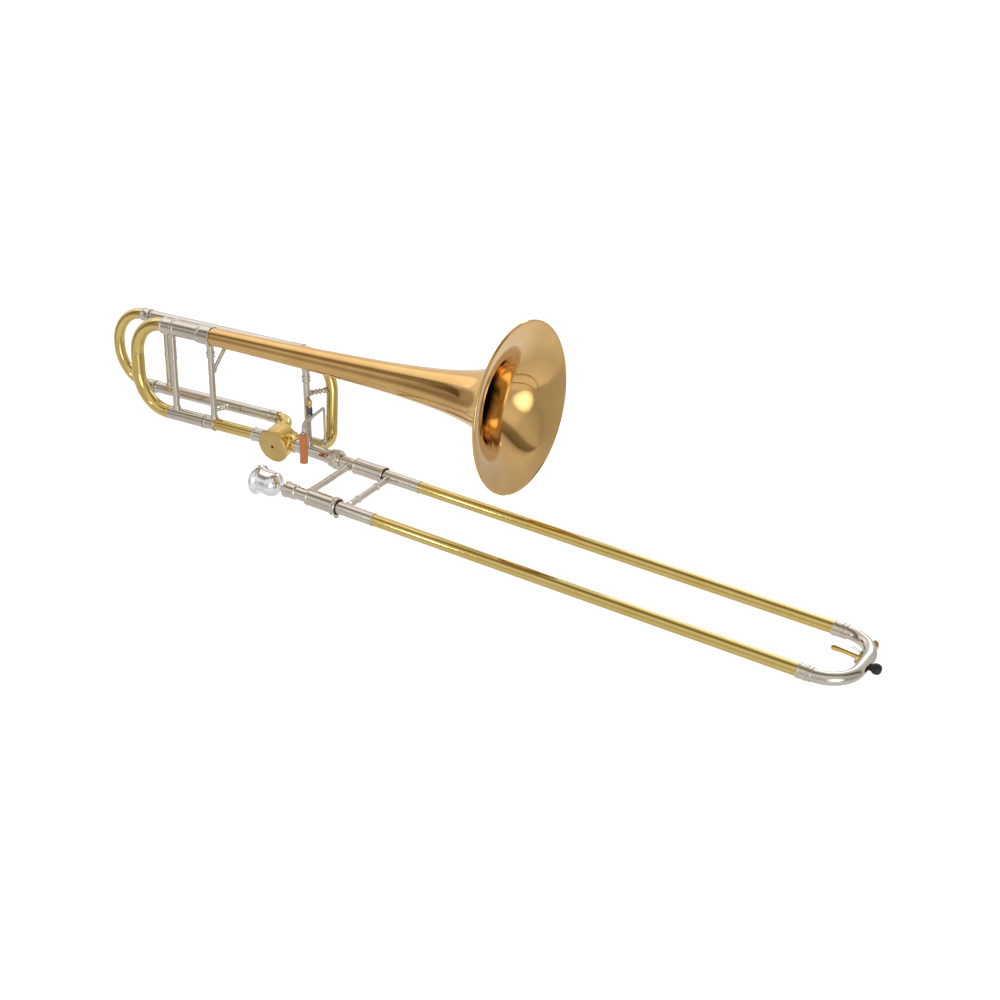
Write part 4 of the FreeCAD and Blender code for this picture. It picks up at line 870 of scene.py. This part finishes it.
# name, body, replaced node, corners, then (tube, along, angle, tube radius, foot radius) twice
POSTS = [
    ("grip_post", "bell_section", "grip_brace", HAND_POST,
     (BELL, 0.0, LOW, 15.2, 5.8), (SLIDE, 26.3, UP - 0.067, 8.9, 6.2)),
    ("tail_post", "bell_section", "tail_brace", HAND_POST,
     (BELL, -161.0, LOW, 13.35, 5.8), (MAIN, -161.0, UP, 9.3, 5.6)),
    ("tuning_post", "main_slide_body", "main_slide_brace", TUNING_POST,
     (BELL, -228.0, LOW, 11.0, 6.4), (MAIN, -228.0, UP, 9.3, 6.0)),
    ("f_post", "bell_section", "f_leg_brace", PLAIN_POST,
     (F_UPPER, -272.0, LOW, 8.3, 5.4), (F_LOWER, -272.0, UP, 8.2, 5.4)),
    ("inner_post", "inner_slide", "inner_brace", SLIDE_POST,
     (SLIDE, 97.2, math.pi, 8.1, 6.0), (NEAR, 97.2, 0.0, 8.4, 6.0)),
    ("hand_post", "outer_slide", "outer_brace", HAND_GRIP,
     (SLIDE, 158.0, math.pi, 8.35, 5.8), (NEAR, 158.0, 0.0, 8.35, 5.8)),
]


# How far a post's end lies inside its tube, and the stretch at each end that the flare takes.
POST_SINK, POST_CLEAR = 1.6, 3.2


def flared_end(length, neck, foot):
    """A post's end swelling out to its soldered foot, as shares of its length."""
    return [(0, foot), (1.9 / length, foot - 0.1), (2.7 / length, neck + 0.5), (3.6 / length, neck)]


def make_posts():
    for name, body, node, corners, *seats in POSTS:
        spots = [round_axis(place, along, radius - POST_SINK, angle)
                 for place, along, angle, radius, _ in seats]
        length = (spots[1] - spots[0]).length
        middle = [(share, size) for share, size in corners
                  if POST_CLEAR < share * length < length - POST_CLEAR]
        start = flared_end(length, corners[0][1], seats[0][4])
        end = flared_end(length, corners[-1][1], seats[1][4])
        shaped = start + middle + [(1 - share, size) for share, size in reversed(end)]
        piece(name, *post(*spots, shaped, 0.9), body, "nickel_silver", node)


BEADED = [(0, 4.0), (0.2, 4.0), (0.22, 3.0), (0.3, 2.6), (0.33, 2.6), (0.37, 3.9), (0.43, 3.9),
          (0.47, 2.6), (0.53, 2.6), (0.57, 3.9), (0.63, 3.9), (0.67, 2.6), (0.7, 2.6), (0.78, 3.0),
          (0.8, 4.0), (1, 4.0)]
ROD = [(0, 4.0), (0.1, 4.0), (0.13, 2.8), (0.9, 2.8), (0.93, 4.0), (1, 4.0)]


def make_cross_braces():
    """The slanting rod and the two beaded braces that tie the F section to the posts."""
    thing = Shape()
    for start, end, corners, radius in (
            (Vector((-161, 0, 6)), F_UPPER @ Vector((-153, 0, 0)), ROD, 8.0),
            (Vector((-161, 0, -45)), F_LOWER @ Vector((-161, 0, 0)), BEADED, 8.0),
            (Vector((0, 0, 12)), Vector((17, 32.3, 12)), BEADED, 7.4)):
        way = (end - start).normalized()
        thing.add(*post(start + way * 3.9, end - way * radius, corners, 0.9))
    thing.make("cross_braces", "bell_section", "nickel_silver", "f_section_braces")


make_posts()
make_cross_braces()


# ---- valve
def make_valve():
    """The drum with its stubs, collars and the small screws of its plates."""
    drum = Shape().add(*turned([
        (-13, 20.7), (12, 20.7), (12, 21.9), (11.4, 22.3), (8.6, 22.3), (8.3, 21.9), (7.9, 21.9),
        (7.6, 22.3), (-9.4, 22.3), (-9.7, 21.9), (-10.1, 21.9), (-10.4, 22.3), (-12.6, 22.3),
        (-13, 22.0)], DRUM, 0.2, 128))
    inlet = [(-35.9, 7.3), (-20.2, 7.3), (-20.2, 9.6), (-23.4, 9.4), (-25, 8.4), (-35.9, 8.2)]
    drum.add(*turned(inlet, frame_of(VALVE_AT, ALONG_X, ALONG_Y), 0.4))
    drum.add(*turned([(-6.4, 8.92), (6.4, 8.92), (6.4, 10.0), (6.0, 10.4), (3.6, 10.4), (3.0, 10.0),
                      (1.0, 10.0), (-0.4, 10.6), (-2.6, 12.2), (-6.4, 12.6)], SLIDE, 0.4))
    drum.make("valve_drum", "bell_section", "gold_lacquer", "valve_casing", "bright_gold")
    screws = Shape()
    for turn in (40, 130, 220, 310):
        spot = round_axis(DRUM, 12.0, 18.4, math.radians(turn))
        screws.add(*turned([(0, 0), (1.1, 0), (1.1, 0.8), (0.8, 1.25), (0, 1.35)],
                           frame_of(spot, ROTOR_AXIS, ALONG_X), 0.2, 24))
    screws.make("plate_screws", "bell_section", "steel")


make_valve()


# ---- trigger
PIN = Vector(JOINTS["thumb_lever_swing"]["pos_m"]) / MM
PIN_PLACE = upright(PIN.x, PIN.y)
LEVER_END = Vector((16.6, 14.4, -8.6))
NECK = Vector((15.5, -30.0, -31.0))
# The strip's width at the roller, what it loses by the link, and its thickness.
STRIP_WIDTH, STRIP_TAPER, STRIP_THICK = 5.2, 1.8, 1.9
# Where the spring's legs point to.
SPRING_LOW, SPRING_HIGH = Vector((14.6, -2.0, -11.5)), Vector((3.4, 0.6, -2.6))


def helix(place, radius, start, end, turns, steps=24):
    count = int(turns * steps)
    return [round_axis(place, start + (end - start) * k / count, radius, 2 * math.pi * k / steps)
            for k in range(count + 1)]


def make_trigger():
    screw = turned([(-21.6, 0), (7.6, 0), (7.5, 1.4), (7.0, 2.3), (6.3, 2.6), (6.05, 2.6),
                    (6.05, 1.5), (-21.6, 1.5)], PIN_PLACE, 0.2, 48)
    piece("hinge_screw", *screw, "bell_section", "steel", "lever_hinge_pin")
    coil = helix(PIN_PLACE, 3.15, -13.2, -3.4, 8.6)
    low_leg = [coil[0] + (SPRING_LOW - coil[0]) * share for share in (0.6, 0.4, 0.2)]
    high_leg = [coil[-1] + (SPRING_HIGH - coil[-1]) * share for share in (0.33, 0.66, 1.0)]
    spring = wire(low_leg + coil + high_leg, 0.52, 14)
    piece("lever_spring", *spring, "bell_section", "blued_steel", "torsion_spring")
    make_lever()


def make_lever():
    """A bent strip: up from the roller, past the hinge, then down to the link."""
    spots = [NECK + Vector((0, 0, -0.4)), Vector((NECK.x, NECK.y + 1.0, -17.5)), LEVER_END,
             Vector((LEVER_END.x, LEVER_END.y, -56.4))]
    path = smooth_path(spots, 4.5, 10)
    blade = Shape()
    blade.add(*lever_strip(path))
    blade.add(*turned([(-15.7, 1.55), (-1.5, 1.55), (-1.5, 2.4), (-15.7, 2.4)], PIN_PLACE, 0.3, 48))
    web = [Vector((PIN.x + 1.9, PIN.y, -14.9)), Vector((PIN.x + 6.6, PIN.y, -14.0))]
    blade.add(*along_path(web, bar_outline(4.4, 1.7, 0.4), Vector((0, 0, 1))))
    blade.add(*turned([(-62.6, 0), (-53.4, 0), (-53.4, 1.5), (-56.2, 2.0), (-57.0, 1.2),
                       (-61.4, 1.2), (-62.0, 1.9),
                       (-62.6, 1.6)], upright(LEVER_END.x, LEVER_END.y), 0.3, 40))
    blade.add(*turned([(-68.5, 0), (-28.6, 0), (-28.9, 1.9), (-29.6, 3.2), (-30.9, 3.4), (-31, 1.8),
                       (-68.5, 1.8)], upright(NECK.x, NECK.y), 0.35, 48))
    blade.make("lever_blade", "lever_body", "nickel_silver", "thumb_lever")


def lever_strip(path):
    """The strip's width runs across its path in the upright plane, and narrows towards the link."""
    points = []
    across = Vector(ALONG_X)
    for i, spot in enumerate(path):
        up = across.cross(ahead_of(path, i)).normalized()
        share = i / (len(path) - 1)
        width = STRIP_WIDTH - STRIP_TAPER * max(0.0, share * 1.6 - 0.6)
        points += [spot + across * u + up * v for u, v in bar_outline(STRIP_THICK, width, 0.5)]
    return points, skin(len(path), len(points) // len(path), True)


LINK_LENGTH = 50.7


def make_link():
    """The link rod: a shank with a ball eye at each end."""
    pivot = Vector(JOINTS["link_pivot"]["pos_m"]) / MM
    far = pivot + Vector((LINK_LENGTH, 0, 0))
    link = Shape()
    link.add(*turned([(-1.3, 1.36), (1.3, 1.36), (1.3, 2.6), (0.6, 3.2), (-0.6, 3.2), (-1.3, 2.6)],
                     frame_of(pivot, ROTOR_AXIS, ALONG_X), 0.35, 48))
    link.add(*turned([(-1.4, 3.4), (1.4, 3.4), (1.4, 3.8), (0.7, 4.2), (-0.7, 4.2), (-1.4, 3.8)],
                     frame_of(far, VALVE_UP, ALONG_X), 0.25, 48))
    link.add(*turned([(2.6, 0), (46.7, 0), (46.7, 2.0), (45.0, 2.0), (44.2, 1.2), (12, 1.2),
                      (11.4, 1.9), (8.8, 1.9), (8.2, 1.2), (4.6, 1.2), (3.6, 1.8), (2.6, 1.6)],
                     frame_of(pivot, ALONG_X, ALONG_Y), 0.35, 32))
    link.make("link", "link_body", "steel", "link_rod")


make_trigger()
make_link()


# ---- nut, lock ring and mouthpiece
def knurled(corners, place, low, high, size, depth, teeth):
    """A turned piece whose band from low to high, outside the given radius, is cut with teeth."""
    rings = teeth * 4
    points, faces = turned(corners, place, 0.25, rings)
    back = place.inverted()
    for i, spot in enumerate(points):
        here = back @ spot
        radius = math.hypot(here.y, here.z)
        if low <= here.x <= high and radius > size and i % rings % 4 >= 2:
            scale = (radius - depth) / radius
            points[i] = place @ Vector((here.x, here.y * scale, here.z * scale))
    return points, faces


def make_nut():
    corners = [(65, 9.7), (75, 9.7), (75, 8.18), (81, 8.18), (81, 10.4), (80.3, 11.0), (78, 11.0),
               (77.6, 11.9), (76.8, 12.9), (75.6, 13.4), (74.4, 13.4), (73.2, 13.4), (72.2, 13.4),
               (71, 12.9), (70.2, 11.9), (69.4, 11.3), (68.9, 12.1), (67.4, 12.1), (67, 11.4),
               (66.6, 12.0), (65.4, 12.0), (65, 11.5)]
    nut = knurled(corners, SLIDE, 70.6, 77.2, 12.4, 0.35, 44)
    piece("lock_nut_knurled", *nut, "lock_nut_body", "nickel_silver", "bell_lock_nut")


def make_lock_ring():
    ring = Shape().add(*knurled([
        (143, 10.78), (150, 10.78), (150, 11.7), (149.5, 12.2), (148.4, 12.2), (148, 11.7),
        (145, 11.7), (144.6, 12.2), (143.5, 12.2), (143, 11.7)], NEAR, 144.8, 148.2, 11.5, 0.3, 40))
    tab = [NEAR @ Vector((along, 0, down))
           for along, down in ((146.4, -11.4), (146.6, -13.2), (146.6, -15.6))]
    ring.add(*along_path(tab, bar_outline(4.4, 6.0, 1.2), SLIDE_SIDE))
    ring.make("lock_ring_tabbed", "lock_ring_body", "nickel_silver", "slide_lock_ring")


def make_mouthpiece():
    inner = [(21.4, 12.5), (23, 12.35), (28, 11.9), (32.5, 10.8), (36, 9.2), (39.5, 7.2), (43, 5.2),
             (45.5, 4.1), (47.5, 3.6), (50, 3.45), (53, 3.5), (91, 5.2)]
    outer = [(91, 5.98), (68, 6.6), (65.5, 6.66), (64.2, 6.5), (62.0, 6.0), (59.4, 5.9),
             (57.8, 6.4), (57.0, 7.6), (56.3, 9.4), (55.2, 11.6), (53.6, 13.6), (51.4, 15.2),
             (48.6, 16.2), (45.4, 16.6), (42, 16.5), (38, 16.3), (34, 16.2), (30.4, 16.4),
             (28.8, 16.8), (28.0, 17.6), (27.4, 18.5), (26.4, 19.3), (24.8, 19.9), (23.2, 19.95),
             (21.6, 19.4), (20.6, 18.5), (20.0, 17.2), (20.0, 15.2), (20.3, 13.9)]
    cup = turned(inner + outer, NEAR, 0.5, 128)
    piece("mouthpiece_cup", *cup, "mouthpiece_body", "silver_plate", "mouthpiece")


make_nut()
make_lock_ring()
make_mouthpiece()


# ---- bow fittings
# The bow's furthest point along the slide, and the water key's hinge.
APEX = 826.0
HINGE = Vector((812.0, 0, -9.5))


def slide_point(x, y, z):
    return SLIDE @ Vector((x, y, z))


def nipple_place():
    """The water key's seat: round the bow from its front, and tipped downwards."""
    turn, dip, bend = math.radians(50), math.radians(24), 39.0
    out = Vector((math.cos(turn), math.sin(turn), 0))
    core = Vector((APEX - bend, -bend, 0)) + out * bend
    way = out * math.cos(dip) + Vector((0, 0, -math.sin(dip)))
    base = SLIDE.to_3x3()
    return frame_of(SLIDE @ core, base @ way, base @ Vector((0, 0, 1)))


def make_bumper():
    corners = [(7.2, 0), (20.2, 0), (20.2, 2.6), (19.7, 4.0), (18.6, 5.2), (17.0, 6.1), (14.8, 6.5),
               (12.6, 6.3), (11.2, 5.7), (10.2, 4.9), (9.4, 4.4), (7.2, 4.4)]
    middle = SLIDE @ Matrix.Translation((0, -LEG_GAP / 2, 0))
    knob = turned([(APEX + past, size) for past, size in corners], middle, 1.2, 64)
    piece("bumper_knob", *knob, "outer_slide", "black_rubber", "rubber_bumper")


def make_water_key():
    place = nipple_place()
    back = SLIDE.inverted() @ (place @ Vector((15.0, 0, 0)))
    axis = frame_of(slide_point(HINGE.x, 0, HINGE.z), SLIDE_SIDE, SLIDE_WAY)
    key = Shape().add(*turned([(-33.8, 1.16), (-19.4, 1.16), (-19.4, 2.0), (-19.8, 2.3),
                               (-33.4, 2.3), (-33.8, 2.0)], axis, 0.2, 40))
    spots = [Vector((HINGE.x, -21.2, HINGE.z - 1)), Vector((HINGE.x + 1.6, -21.2, -13.4)),
             Vector((818.5, -5.5, -13.4)), back + Vector((0, 0, -0.4))]
    key.add(*wire([SLIDE @ spot for spot in smooth_path(spots, 3.0, 8)], 1.5, 20))
    key.add(*turned([(12.1, 4.3), (13.4, 4.3), (13.4, 0), (16.4, 0), (16.1, 2.4), (15.2, 4.8),
                     (14.0, 5.9), (12.6, 6.1), (12.1, 5.7)], place, 0.3, 48))
    key.add(*finger_tab())
    key.make("water_key_lever", "water_key_body", "gold_lacquer", "water_key", "bright_gold")
    pad = [(10.5, 0), (13.38, 0), (13.38, 4.25), (10.9, 4.25), (10.5, 3.8)]
    pad = turned(pad, place, 0.4, 48)
    piece("key_cork_pad", *pad, "water_key_body", "cork", "water_key_cork")
    near, far = -18.6, -15.6
    coil = ([slide_point(799, near, -5.1), slide_point(806, near, -6.9)]
            + helix(axis, 1.75, near, far, 3.5, 20)
            + [slide_point(806, far, -6.9), slide_point(799, far, -5.1)])
    piece("key_spring", *wire(coil, 0.38, 12), "outer_slide", "steel", "water_key_spring")


# The leaf's tilt about its length, its start past the hinge, its length, its middle's offset to
# the near side, its half width at the hinge and its half thickness.
TAB_TILT = math.radians(42)
TAB_START, TAB_LENGTH, TAB_SIDE, TAB_HALF, TAB_THICK = 3.5, 36.5, -29.0, 3.0, 0.95


def finger_tab():
    """A leaf that starts at the hinge, narrows and ends in a rounded touch."""
    points = []
    count, around = 36, 20
    for i in range(count + 1):
        share = i / count
        x = HINGE.x + TAB_START - TAB_LENGTH * share
        lift = HINGE.z + 1.0 + 2.4 * share + 0.8 * math.sin(share * math.pi)
        half = TAB_HALF * (1 - 0.18 * math.sin(share * math.pi)) + 0.5 * share
        if share > 0.9:
            half *= math.sqrt(max(0.0, 1 - ((share - 0.9) / 0.1) ** 2)) * 0.98 + 0.02
        for u, v in circle(1.0, around):
            wide, thick = half * u, TAB_THICK * v
            y = TAB_SIDE + wide * math.cos(TAB_TILT) - thick * math.sin(TAB_TILT)
            z = lift + wide * math.sin(TAB_TILT) + thick * math.cos(TAB_TILT)
            points.append(slide_point(x, y, z))
    return points, skin(count + 1, around, True)


make_bumper()
make_water_key()


# Metres: points closer than this are joined, and the width of a softened edge.
WELD, SOFT_EDGE = 0.00001, 0.00022


def dress_cad_nodes():
    """CAD nodes whose shape is right: softened edges, smooth shading and a finished material."""
    slots = {entry["node"]: entry["material_slot"] for entry in RECORD["subparts"]}
    for name, node in frame["nodes"].items():
        node.data.materials.clear()
        node.data.materials.append(MATERIALS[slots[name]])
        node.data.polygons.foreach_set("use_smooth", [True] * len(node.data.polygons))
        weld = node.modifiers.new("weld", "WELD")
        weld.merge_threshold = WELD
        edge = node.modifiers.new("soft_edges", "BEVEL")
        edge.width = SOFT_EDGE
        edge.segments = 2
        edge.limit_method = "ANGLE"
        edge.angle_limit = math.radians(35)
        edge.harden_normals = True


dress_cad_nodes()
